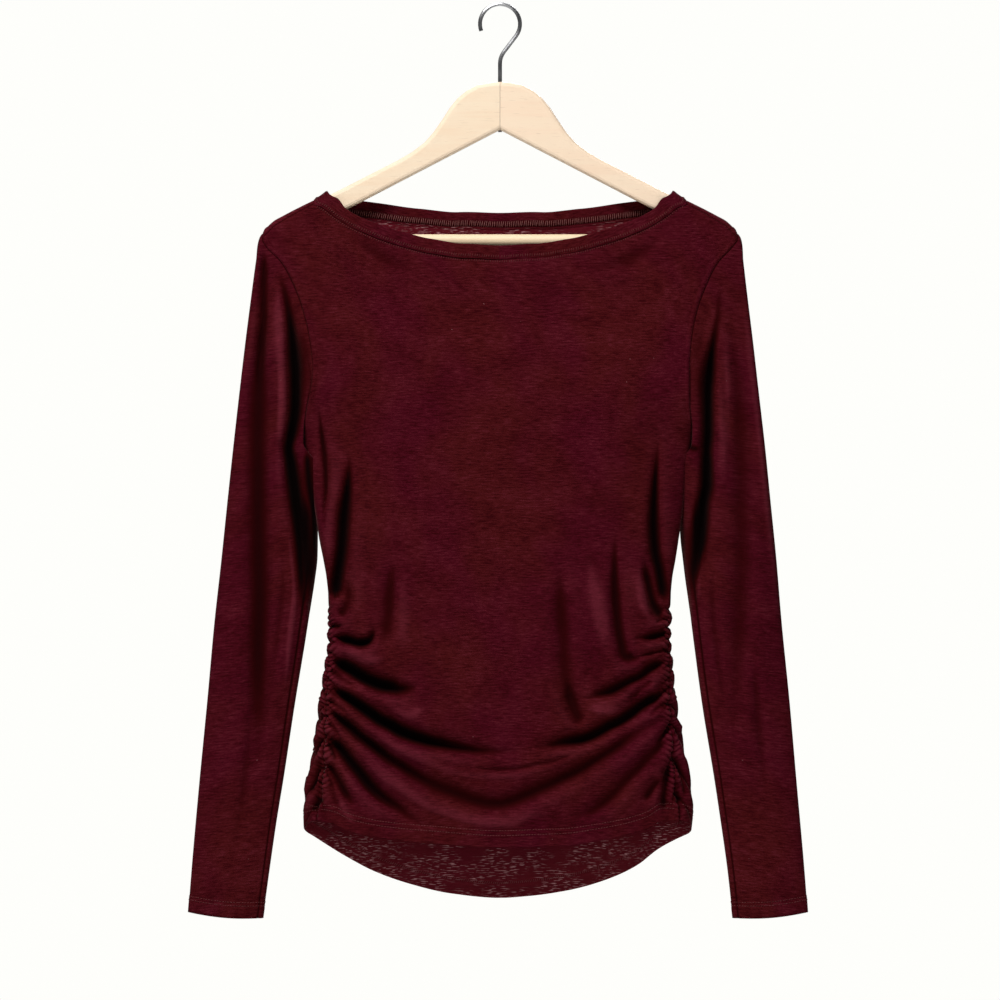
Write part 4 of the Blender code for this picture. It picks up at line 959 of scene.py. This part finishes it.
sleeves = {
    # outlines: height, left, right
    "outer": [
        (-204.6, -213.6, 213.6), (-209, -216.2, 216.4), (-229, -219.2, 218.6), (-265, -224.0, 222.8),
        (-301, -228.6, 227.2), (-345, -233.8, 232.2), (-400, -240.0, 238.5), (-445, -244.8, 243.0),
        (-499, -250.4, 248.4), (-553, -256.4, 252.9), (-625, -263.0, 260.1), (-697, -270.0, 266.4),
        (-778, -277.2, 273.6), (-822, -280.6, 277.0),
    ],
    "inner": [
        (-391, -176.6, 172.4), (-396, -176.0, 171.6), (-403, -173.0, 169.6), (-413, -168.6, 165.4),
        (-436, -165.2, 162.6), (-460, -165.0, 162.4), (-481, -164.8, 163.4), (-495, -165.0, 165.0),
        (-517, -167.4, 167.6), (-535, -170.1, 170.1), (-571, -175.6, 174.6), (-625, -184.5, 181.8),
        (-697, -195.5, 193.5), (-733, -201.4, 198.9), (-778, -207.9, 205.2), (-822, -213.9, 210.0),
    ],
    "cuff": (-815.4, -820.6),       # outer and inner height
    "droop": 2.2,
    "fullness": 0.8,
    "depth": [(0, 14.5), (0.2, 15.5), (0.45, 13.5), (0.75, 11.0), (1, 9.5)],
    "headFade": 0.55,
    "clearance": 0.9, "clearBy": 0.018,
    "tuck": 11.5, "tuckReach": 0.36,
    "behind": 8.0, "behindFrom": (-395, -414),      # how far its inner fold may lie behind the body's edge
    "rows": 236, "rowPower": 1.25,
    "folds": {
        "left": [
            (4.6, 3.6, 1.2, 0.20, 0.35, -210, -211, -212, -226, -212.3, -250, -212.3, -278, -214, -300,
             -216, -330, -217, -356),
            (6.0, 8.6, 2.4, 0.22, 0.30, -212.5, -255, -214.5, -300, -216.5, -350, -217.5, -400, -217.5, -445,
             -217, -490, -216, -535, -217, -580, -217, -625, -218, -670, -220, -715),
            (11.0, 5.4, 2.4, 0.28, 0.30, -195, -247, -190.5, -270, -187.5, -290, -185, -312, -183.5, -337,
             -183.8, -360, -187, -382, -190, -398, -188, -412, -184, -440, -180, -470, -177, -500,
             -176, -530),
            (1.6, 3.2, 1.0, 0.4, 0.4, -196, -480, -195, -520, -199, -560, -204, -600, -210, -640),
            (-1.3, 4.2, 0.0, 0.25, 0.4, -200, -236, -199, -270, -198, -300, -196.5, -330, -195.5, -370,
             -196, -410, -196, -440),
            (-1.5, 2.6, 0.0, 0.3, 0.4, -190, -460, -188, -490, -184.5, -525, -188, -560, -192, -600,
             -195, -630),
            (1.6, 4.0, 0.8, 0.4, 0.5, -222, -620, -230, -700, -240, -780),
            (1.2, 3.4, 0.5, 0.4, 0.5, -199, -300, -202, -360, -204, -430),
        ],
        "right": [
            (2.6, 8.0, 1.8, 0.25, 0.35, 207, -262, 211, -320, 217, -400, 218, -490, 216, -535, 214, -580,
             212, -625, 209, -670, 208, -700),
            (10.0, 5.0, 2.2, 0.24, 0.30, 195.5, -276, 192, -300, 189, -322, 187, -350, 187, -380, 186, -404,
             186, -427, 183, -447, 181, -480, 179, -505, 178, -535),
            (1.6, 3.2, 1.0, 0.4, 0.4, 192, -490, 191, -530, 194, -570, 199, -610, 205, -650),
            (-1.0, 5.0, 0.0, 0.4, 0.4, 204, -280, 204, -330, 202, -385, 200, -440),
            (-1.0, 3.6, 0.0, 0.2, 0.5, 216, -232, 219.5, -265, 224, -301, 229, -345, 235, -400, 239.5, -445,
             245, -499, 249.5, -553, 255, -610),
            (-1.5, 1.9, 0.0, 0.3, 0.4, 184, -480, 181.5, -500, 179, -521, 177.5, -545),
            (1.6, 4.0, 0.8, 0.4, 0.5, 226, -560, 233, -650, 242, -730),
            (1.2, 3.4, 0.5, 0.4, 0.5, 198, -300, 202, -360, 205, -420),
        ],
        "leftBack": [
            (5.0, 5.5, 1.4, 0.30, 0.35, -216, -280, -219, -360, -224, -470, -233, -600, -243, -700),
            (6.0, 5.0, 1.4, 0.30, 0.30, -182, -330, -181, -390, -178, -450, -176, -500),
            (2.2, 4.0, 0.8, 0.4, 0.4, -205, -540, -212, -640, -222, -740),
        ],
        "rightBack": [
            (5.4, 5.5, 1.4, 0.30, 0.35, 212, -290, 216, -380, 223, -500, 232, -620, 244, -740),
            (6.0, 5.0, 1.4, 0.30, 0.30, 183, -340, 181, -400, 176, -460, 173, -510),
            (2.2, 4.0, 0.8, 0.4, 0.4, 200, -520, 207, -620, 216, -700),
        ],
    },
    # painted shade where no light gets in beside the body, in the same form
    "recess": {
        "left": [
            (5.6, 4.0, 0, 0.20, 0.10, -204, -226, -197.5, -245, -192, -265, -188.7, -285, -186.5, -305,
             -184.5, -325, -183.5, -345, -186, -372, -190, -398),
            (9, 4.4, 0, 0.10, 0.30, -190.5, -396, -188.5, -412, -185, -440, -182, -470, -180, -500,
             -178, -535, -177, -560),
            (9, 4.0, 0, 0.10, 0.30, -174, -396, -172, -427, -168, -457, -167, -485, -169, -520),
            (9, 9.0, 0, 0.45, 0.40, -176, -420, -175, -450, -174, -480, -173, -510, -174, -535, -176, -560),
            (3, 6.0, 0, 0.40, 0.40, -180, -270, -176, -310, -175, -350, -179, -385),
        ],
        "right": [
            (5.2, 3.0, 0, 0.35, 0.10, 200, -230, 197, -262, 194.5, -288, 191.5, -308, 189, -325, 187.5, -350,
             187.5, -383, 186, -404),
            (9, 2.4, 0, 0.05, 0.50, 170, -397, 175, -398.5, 181, -397),
            (9, 4.2, 0, 0.10, 0.35, 186, -396, 186, -427, 183, -447, 181, -480, 179, -505, 179, -540),
            (9, 5.5, 0, 0.45, 0.40, 176, -430, 176, -460, 175, -490, 174, -520, 176, -550),
            (3, 6.0, 0, 0.40, 0.40, 182, -275, 180, -310, 179, -350, 180, -385),
        ],
    },
    "inseamAt": 4.6, "inseamFrom": 0.28,            # the seam's distance from the inner fold, and its start
    # inseamShade is the strength of the inseam's painted shadow
    "inseamDent": 0.7, "inseamLift": 0.35, "inseamShade": 0.75,
    "cuffRows": (11.4, 14.6), "cuffDepth": 14.8, "cuffLift": 0.4, "cuffDent": 0.4,
    "unevenness": 0.4,
    "spread": (6, 3),
}


def fineSleeve(side, frontBase, backBase):
    # rings from the armhole loop to a flat tube: across goes with half of 1 minus the cosine of the
    # share from crest to underarm, depth with its sine, and the armhole's own shape fades downwards
    facts = sleeves
    edge, column, sign = (1, 0, -1) if side == "left" else (2, -1, 1)
    front = frontBase[: rowsToUnderarm("front") + 1, column]
    back = backBase[: rowsToUnderarm("back") + 1, column]
    loop = np.concatenate([back, front[-2:0:-1]])
    crest, low = int(np.argmax(loop[:, 2])), rowsToUnderarm("back")
    length = np.linalg.norm(np.diff(np.vstack([loop, loop[:1]]), axis=0), axis=1)
    walked = np.concatenate([[0], np.cumsum(length)])
    total = walked[-1]
    position = (walked[:-1] - walked[crest]) % total
    toLow = (walked[low] - walked[crest]) % total
    onBack = position <= toLow
    share = np.where(onBack, position / toLow, (total - position) / (total - toLow))
    facing = np.where(onBack, 1.0, -1.0)

    t = np.linspace(0, 1, facts["rows"] + 1)[:, None] ** facts["rowPower"]
    cuffOuter, cuffInner = facts["cuff"]
    outerZ = loop[crest, 2] + t * (cuffOuter - loop[crest, 2])
    innerZ = hang["underarm"] + t * (cuffInner - hang["underarm"])
    outerX, innerX = through(facts["outer"], edge, outerZ), through(facts["inner"], edge, innerZ)
    across = (1 - np.cos(np.pi * share))[None] / 2
    x = outerX + (innerX - outerX) * across
    z = outerZ + (innerZ - outerZ) * across - facts["droop"] * t**4 * np.sin(np.pi * across)
    y = facing * through(facts["depth"], 1, t) * np.sin(np.pi * share) ** facts["fullness"]
    flat = np.stack([x, y, z], -1)
    rings = flat + (loop - flat[0]) * np.clip(1 - t / facts["headFade"], 0, 1)[..., None] ** 2

    # kept clear of the body at the underarm, and behind its edge below
    apart = facts["clearance"] * np.clip(t / facts["clearBy"], 0, 1)
    start, end = facts["behindFrom"]
    apart = apart - (apart + facts["behind"]) * eased((start - rings[..., 2]) / (start - end))
    limit = sign * through(hang["edges"], edge, rings[..., 2]) + apart
    rings[..., 0] += sign * np.clip(limit - sign * rings[..., 0], 0, None)
    tuck = facts["tuck"] * across**3 * np.sin(np.pi * np.clip(t / facts["tuckReach"], 0, 1)) ** 0.35

    x, z = rings[..., 0], rings[..., 2]
    edgeFade = np.clip(np.sin(np.pi * share) * 3, 0, 1)
    onFront, onBack = (facing < 0) * edgeFade, (facing > 0) * edgeFade
    frontIn, frontShade = (field * onFront for field in foldField(facts["folds"][side], x, z))
    backIn, backShade = (field * onBack for field in foldField(facts["folds"][side + "Back"], x, z))
    # the recess rows give only painted shade
    recess = foldField(facts["recess"][side], x, z)[1]
    uneven = facts["unevenness"] * unevenness(x * 1.3, z * 0.8)
    raised = uneven * edgeFade * eased(t / 0.1) - frontIn - backIn
    rings[1:, :, 1] += (tuck + facing * raised)[1:]

    normal = normalsOf(softened(rings, 2, closed=True), rings - rings.mean(1, keepdims=True), closed=True)
    down = walkedAlong(rings, 0)
    toCuff = down[-1:] - down
    fromInner, seamAt = np.abs(innerX - x), facts["inseamAt"]
    seamFade = eased((t - facts["inseamFrom"]) / 0.1) * (facing < 0)
    out = -rolled(down, surfaceFacts["seamRoll"])
    out -= facts["inseamDent"] * bell((fromInner - seamAt) / 0.7) * seamFade
    out += facts["inseamLift"] * ridge(fromInner, 0.6, seamAt - 0.6) * seamFade
    out += facts["cuffLift"] * eased(facts["cuffDepth"] - toCuff)
    for row in facts["cuffRows"]:
        out -= facts["cuffDent"] * bell((toCuff - row) / surfaceFacts["dentWidth"])
    # the painted shade number: painted shade from the hollows, folds, recess and seams, painted highlight on
    # raised places
    paintedShade = hollowness(out + raised, *facts["spread"], closed=True)
    paintedShade = shaded(paintedShade, 0.95 * frontShade, 0.8 * backShade, recess * (facing < 0))
    paintedShade = darkened(paintedShade, seamShade(down))
    paintedShade = darkened(paintedShade, facts["inseamShade"] * bell((fromInner - seamAt) / 0.9) * seamFade)
    return rings + normal * out[..., None], normal, paintedShade


def fineBand():
    # the folded neckband: a thin closed loop of points round its section, carried round the neck
    front, crest, back = neckStations()
    left = list(front) + list(crest) + list(back)
    whole = np.array(left + [(-a, b, -c, d) for a, b, c, d in reversed(left)][1:])
    walked = np.concatenate([[0], np.cumsum(np.hypot(*np.diff(whole[:, :2], axis=0).T))])
    at = np.linspace(0, walked[-1], neck["bandStations"] + 1)[:-1]
    table = np.column_stack([walked, whole])
    total = np.array([walked[-1], 0, 0, 0, 0])      # the loop's ends overlap, so that it closes smoothly
    table = np.concatenate([table[-4:-1] - total, table, table[1:4] + total])
    seamX, seamH, edgeX, edgeH = smoothStations(table, at).T
    share = np.linspace(0, 1, neck["bandPoints"])[:, None]
    x = seamX + share * (edgeX - seamX)
    h = seamH + share * (edgeH - seamH)
    lean = np.clip(h / hang["wrap"], -math.pi / 2, math.pi / 2)
    middle = np.where(h[..., None] < 0, bodyPoint("front", x, -h), bodyPoint("back", x, h))
    lift = neck["bandLift"] + 0.35 * np.sin(at / 29) * np.sin(at / 13.3 + 1) * share
    lift = lift + neck["crestLift"] * bell((edgeH - 2) / 6.5) * share**2
    middle[..., 1] += lift * np.sin(lean)
    middle[..., 2] += lift * np.cos(lean)
    outward = np.stack([0 * lean, np.sin(lean), np.cos(lean)], -1)
    normal = normalsOf(middle, outward, closed=True)
    half = neck["bandHalf"] * np.sqrt(np.clip(1 - share**10, 0, 1)) * (0.45 + 0.55 * eased(share / 0.12))
    return middle, normal, half[..., None], at


print("forms ready")


def pieceOf(name, mesh, finish):
    mesh.materials.append(finish)
    mesh.shade_smooth()
    piece = bpy.data.objects.new(name, mesh)
    bpy.context.scene.collection.objects.link(piece)
    return piece


def clothMesh(name, grid, across, down, finish, inner=None, closed=False, flipped=False, paintedShade=None):
    # quads through a grid of millimetre points, with the cloth's own coordinates in metres. With an
    # inner finish it is an open sheet and gets its wall, half to each side
    rows, columns = grid.shape[:2]
    index = np.arange(rows * columns).reshape(rows, columns)
    if closed:
        index = np.hstack([index, index[:, :1]])
    corner = np.arange(index.size).reshape(index.shape)

    def quadsOf(numbers):
        quads = np.stack([numbers[:-1, :-1], numbers[1:, :-1], numbers[1:, 1:], numbers[:-1, 1:]], -1)
        quads = quads.reshape(-1, 4)
        return quads[:, ::-1] if flipped else quads

    mesh = bpy.data.meshes.new(name)
    mesh.from_pydata(grid.reshape(-1, 3) * mm, [], quadsOf(index))
    plan = np.stack([np.broadcast_to(across, index.shape), np.broadcast_to(down, index.shape)], -1) * mm
    layer = mesh.uv_layers.new(name="cloth")
    layer.data.foreach_set("uv", plan.reshape(-1, 2)[quadsOf(corner).reshape(-1)].reshape(-1))
    # the painted shade number goes to the cloth's finish as a mesh attribute
    mesh.attributes.new("paintedShade", "FLOAT", "POINT").data.foreach_set("value", paintedShade.reshape(-1))
    piece = pieceOf(name, mesh, finish)
    if inner is not None:
        mesh.materials.append(inner)
        shell = piece.modifiers.new("wall", "SOLIDIFY")
        shell.thickness = weave["wall"] * mm
        shell.offset = 0
        shell.use_quality_normals = True
        shell.material_offset = 1
    return piece


def roundAgain(grid):
    # a closed grid with its first column repeated at its end
    return np.concatenate([grid, grid[:, :1]], 1)


def pointsAt(grid, normal, distance, fromEnd=False):
    # the place on each column of a grid at a distance along the cloth, with its normal
    if fromEnd:
        grid, normal = grid[::-1], normal[::-1]
    walked = walkedAlong(grid, 0)
    i = np.clip((walked < distance).sum(0) - 1, 0, len(grid) - 2)
    c = np.arange(grid.shape[1])
    t = ((distance - walked[i, c]) / np.maximum(walked[i + 1, c] - walked[i, c], 1e-6))[:, None]
    place = grid[i, c] + t * (grid[i + 1, c] - grid[i, c])
    turned = normal[i, c] + t * (normal[i + 1, c] - normal[i, c])
    return place, turned / np.linalg.norm(turned, axis=1, keepdims=True)


stitching = {
    # pitch, length, thread's radius, slant from the row, height over the cloth
    "straight": (2.5, 1.9, 0.24, 0, 0.55),      # the two rows of hems and cuffs
    "looped": (1.9, 4.4, 0.22, 1.15, 0.50),     # between them on the wrong side
    "bandEdge": (2.1, 2.7, 0.33, 1.45, 0.10),   # the coverstitch's two sides at the neck
    "belowBand": (2.1, 2.0, 0.33, 1.45, 0.50),
    "overlock": (1.9, 5.6, 0.30, 1.45, 0.45),
    "loopedAt": 13.8, "belowBandAt": 2.6,       # distances from the hem and from the neck seam
    "bandRow": 3, "overlockOff": 1.15,
    "unstitched": 3,                            # columns left free at a hem's ends
    "jitter": 0.12,                             # of the pitch, and in radians of the slant
    "rings": 5, "sides": 6,
}


def stitchRow(path, normal, kind, seed, closed=False):
    # stitches along a path: each is a short bar of a few rings whose ends dip into the cloth.
    # The height over the bar goes with 1 minus the square of the share from its middle
    pitch, length, radius, slant, lift = stitching[kind]
    jitter, rings, sides = stitching["jitter"], stitching["rings"], stitching["sides"]
    if closed:
        path, normal = np.vstack([path, path[:1]]), np.vstack([normal, normal[:1]])
    walked = np.concatenate([[0], np.cumsum(np.linalg.norm(np.diff(path, axis=0), axis=1))])

    def along(table, where):
        return np.stack([np.interp(where, walked, table[:, k]) for k in range(3)], -1)

    def unit(vectors):
        return vectors / np.maximum(np.linalg.norm(vectors, axis=1, keepdims=True), 1e-9)

    at = np.arange(pitch / 2, walked[-1] - pitch / 4, pitch)
    random = np.random.default_rng(seed)
    at = at + random.uniform(-jitter, jitter, at.shape) * pitch
    centre, up = along(path, at), unit(along(normal, at))
    ahead = unit(along(path, at + 0.4) - centre)
    turn = slant + random.uniform(-jitter, jitter, at.shape)
    way = ahead * np.cos(turn)[:, None] + np.cross(up, ahead) * np.sin(turn)[:, None]
    aside = np.cross(up, way)
    s = np.linspace(-1, 1, rings)[None, :, None, None]
    angle = (np.arange(sides) * 2 * math.pi / sides)[None, None, :, None]
    thick = radius * np.sqrt(np.clip(1.12 - s**2, 0, 1))
    height = lift - radius * 0.4 + radius * 1.1 * (1 - s**2)
    shape = (centre[:, None, None] + way[:, None, None] * s * length / 2
             + aside[:, None, None] * np.cos(angle) * thick
             + up[:, None, None] * (np.sin(angle) * thick + height))
    index = np.arange(len(at) * rings * sides).reshape(len(at), rings, sides)
    turned = np.roll(index, -1, 2)
    quads = np.stack([index[:, :-1], turned[:, :-1], turned[:, 1:], index[:, 1:]], -1).reshape(-1, 4)
    return shape.reshape(-1, 3), quads, np.concatenate([index[:, 0, ::-1], index[:, -1]])


def stitchPiece(name, stitchRows, finish):
    # all rows of one thread as one mesh
    points, quads, caps, start = [], [], [], 0
    for shape, quad, cap in stitchRows:
        points.append(shape)
        quads.append(quad + start)
        caps.append(cap + start)
        start += len(shape)
    mesh = bpy.data.meshes.new(name)
    faces = np.concatenate(quads).tolist() + np.concatenate(caps).tolist()
    mesh.from_pydata(np.concatenate(points) * mm, [], faces)
    return pieceOf(name, mesh, finish)


def placed(piece, node=None):
    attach(piece, "root")
    if node:
        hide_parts(node)
    return piece


floor = buildStudio()
surroundLight()
floor.data.materials.append(floorFinish())
print("studio ready")

outside, inside = jerseyFinish("jersey_outside"), jerseyFinish("jersey_inside", inside=True)
grids, normals, pieces = {}, {}, {}
bases = {side: panelBase(side) for side in ("front", "back")}
for side, (base, xTop, h) in bases.items():
    grid, across, paintedShade = finePanel(side, base, xTop, h)
    outward = np.array([0.0, -1.0 if side == "front" else 1.0, 0.0])
    grids[side], normals[side] = grid, normalsOf(grid, outward)
    piece = clothMesh(side + "_panel_cloth", grid, across, -base[..., 2], outside, inside,
                      flipped=side == "back", paintedShade=paintedShade)
    pieces[side] = placed(piece, side + "_panel")
    print(side, "panel", grid.shape)

for side in ("left", "right"):
    name = "sleeve_" + side
    rings, normal, paintedShade = fineSleeve(side, bases["front"][0], bases["back"][0])
    grids[side], normals[side] = rings, normal
    courses = -rings[..., 2] - 0.1 * np.abs(rings[..., 0])      # the knit's courses climb a little outwards
    piece = clothMesh(name + "_cloth", rings, walkedAlong(roundAgain(rings), 1), roundAgain(courses), outside,
                      inside, closed=True, flipped=side == "left", paintedShade=paintedShade)
    pieces[name] = placed(piece, name)
    print(side, "sleeve", rings.shape)

middle, bandNormal, half, bandWalk = fineBand()
outerFace, innerFace = middle + bandNormal * half, middle - bandNormal * half
section = np.concatenate([outerFace, innerFace[-2::-1], outerFace[:1]])
bandAcross = np.concatenate([bandWalk, [bandWalk[-1] + neck["closing"]]])[None]
count = neck["bandPoints"]
toSeam = np.concatenate([np.arange(count), np.arange(count - 2, -1, -1), [0]])[:, None]
# painted shade along the band's seam, on both faces
bandPaintedShade = neck["seamPaintedShade"] * bell(toSeam / 0.9) * np.ones(section.shape[1])
band = clothMesh("neckband_cloth", section, bandAcross, roundAgain(walkedAlong(section, 0)), outside,
                 closed=True, paintedShade=bandPaintedShade)
pieces["neckband"] = placed(band, "neckband")
print("neckband", section.shape)

hemStitches, neckStitches = [], []
for side in ("front", "back"):
    free = stitching["unstitched"]
    for seed, row in enumerate(surfaceFacts["hemRows"]):
        path, up = pointsAt(grids[side], normals[side], row, fromEnd=True)
        hemStitches.append(stitchRow(path[free:-free], up[free:-free], "straight", 3 + seed))
    path, up = pointsAt(grids[side], normals[side], stitching["loopedAt"], fromEnd=True)
    hemStitches.append(stitchRow(path[free:-free], -up[free:-free], "looped", 9))
for side in ("left", "right"):
    for seed, row in enumerate(sleeves["cuffRows"]):
        path, up = pointsAt(grids[side], normals[side], row, fromEnd=True)
        hemStitches.append(stitchRow(path, up, "straight", 5 + seed, closed=True))
row = stitching["bandRow"]
neckStitches.append(stitchRow(outerFace[row], bandNormal[row], "bandEdge", 21, closed=True))
for side in ("front", "back"):
    inNeck = np.abs(bases[side][0][0, :, 0]) < neck["end"]
    path, up = pointsAt(grids[side], normals[side], stitching["belowBandAt"])
    neckStitches.append(stitchRow(path[inNeck], up[inNeck], "belowBand", 23))
overlockPath = innerFace[row] - bandNormal[row] * stitching["overlockOff"]
overlock = stitchRow(overlockPath, -bandNormal[row], "overlock", 31, closed=True)
for name, threadName, stitchRows in (("hem_stitches", "wine_thread", hemStitches),
                                     ("neck_stitches", "neck_thread", neckStitches),
                                     ("overlock_stitches", "overlock_thread", [overlock])):
    pieces[name] = placed(stitchPiece(name, stitchRows, threadFinish(threadName)))
    print(name, len(pieces[name].data.polygons))

# the allowance strip gets a painted shade of half strength all over
seamAllowance = {"off": 0.75, "half": 0.55, "points": 7, "paintedShade": 0.5}

# the seam allowance is overlocked and laid up against the inside of the band
count = seamAllowance["points"]
allowanceMiddle = innerFace[:count] - bandNormal[:count] * seamAllowance["off"]
edgeRound = np.sqrt(np.clip(1 - np.linspace(-1, 1, count)[:, None, None] ** 8, 0, 1))
allowanceHalf = bandNormal[:count] * (seamAllowance["half"] * edgeRound)
strip = np.concatenate([allowanceMiddle - allowanceHalf, (allowanceMiddle + allowanceHalf)[-2::-1]])
strip = np.concatenate([strip, strip[:1]])
pieces["allowance"] = placed(clothMesh(
    "neck_seam_allowance", strip, bandAcross, roundAgain(walkedAlong(strip, 0)), outside, closed=True,
    flipped=True, paintedShade=np.full(strip.shape[:2], seamAllowance["paintedShade"])))

# the hanger keeps its solids and gets its wood and wire
hangerFinishes = {node: woodFinish(node) for node in wood}
hangerFinishes["hanger_hook"] = wireFinish()
for node, finish in hangerFinishes.items():
    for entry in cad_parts[node].material_slots:
        entry.material = finish
print("hanger finished")
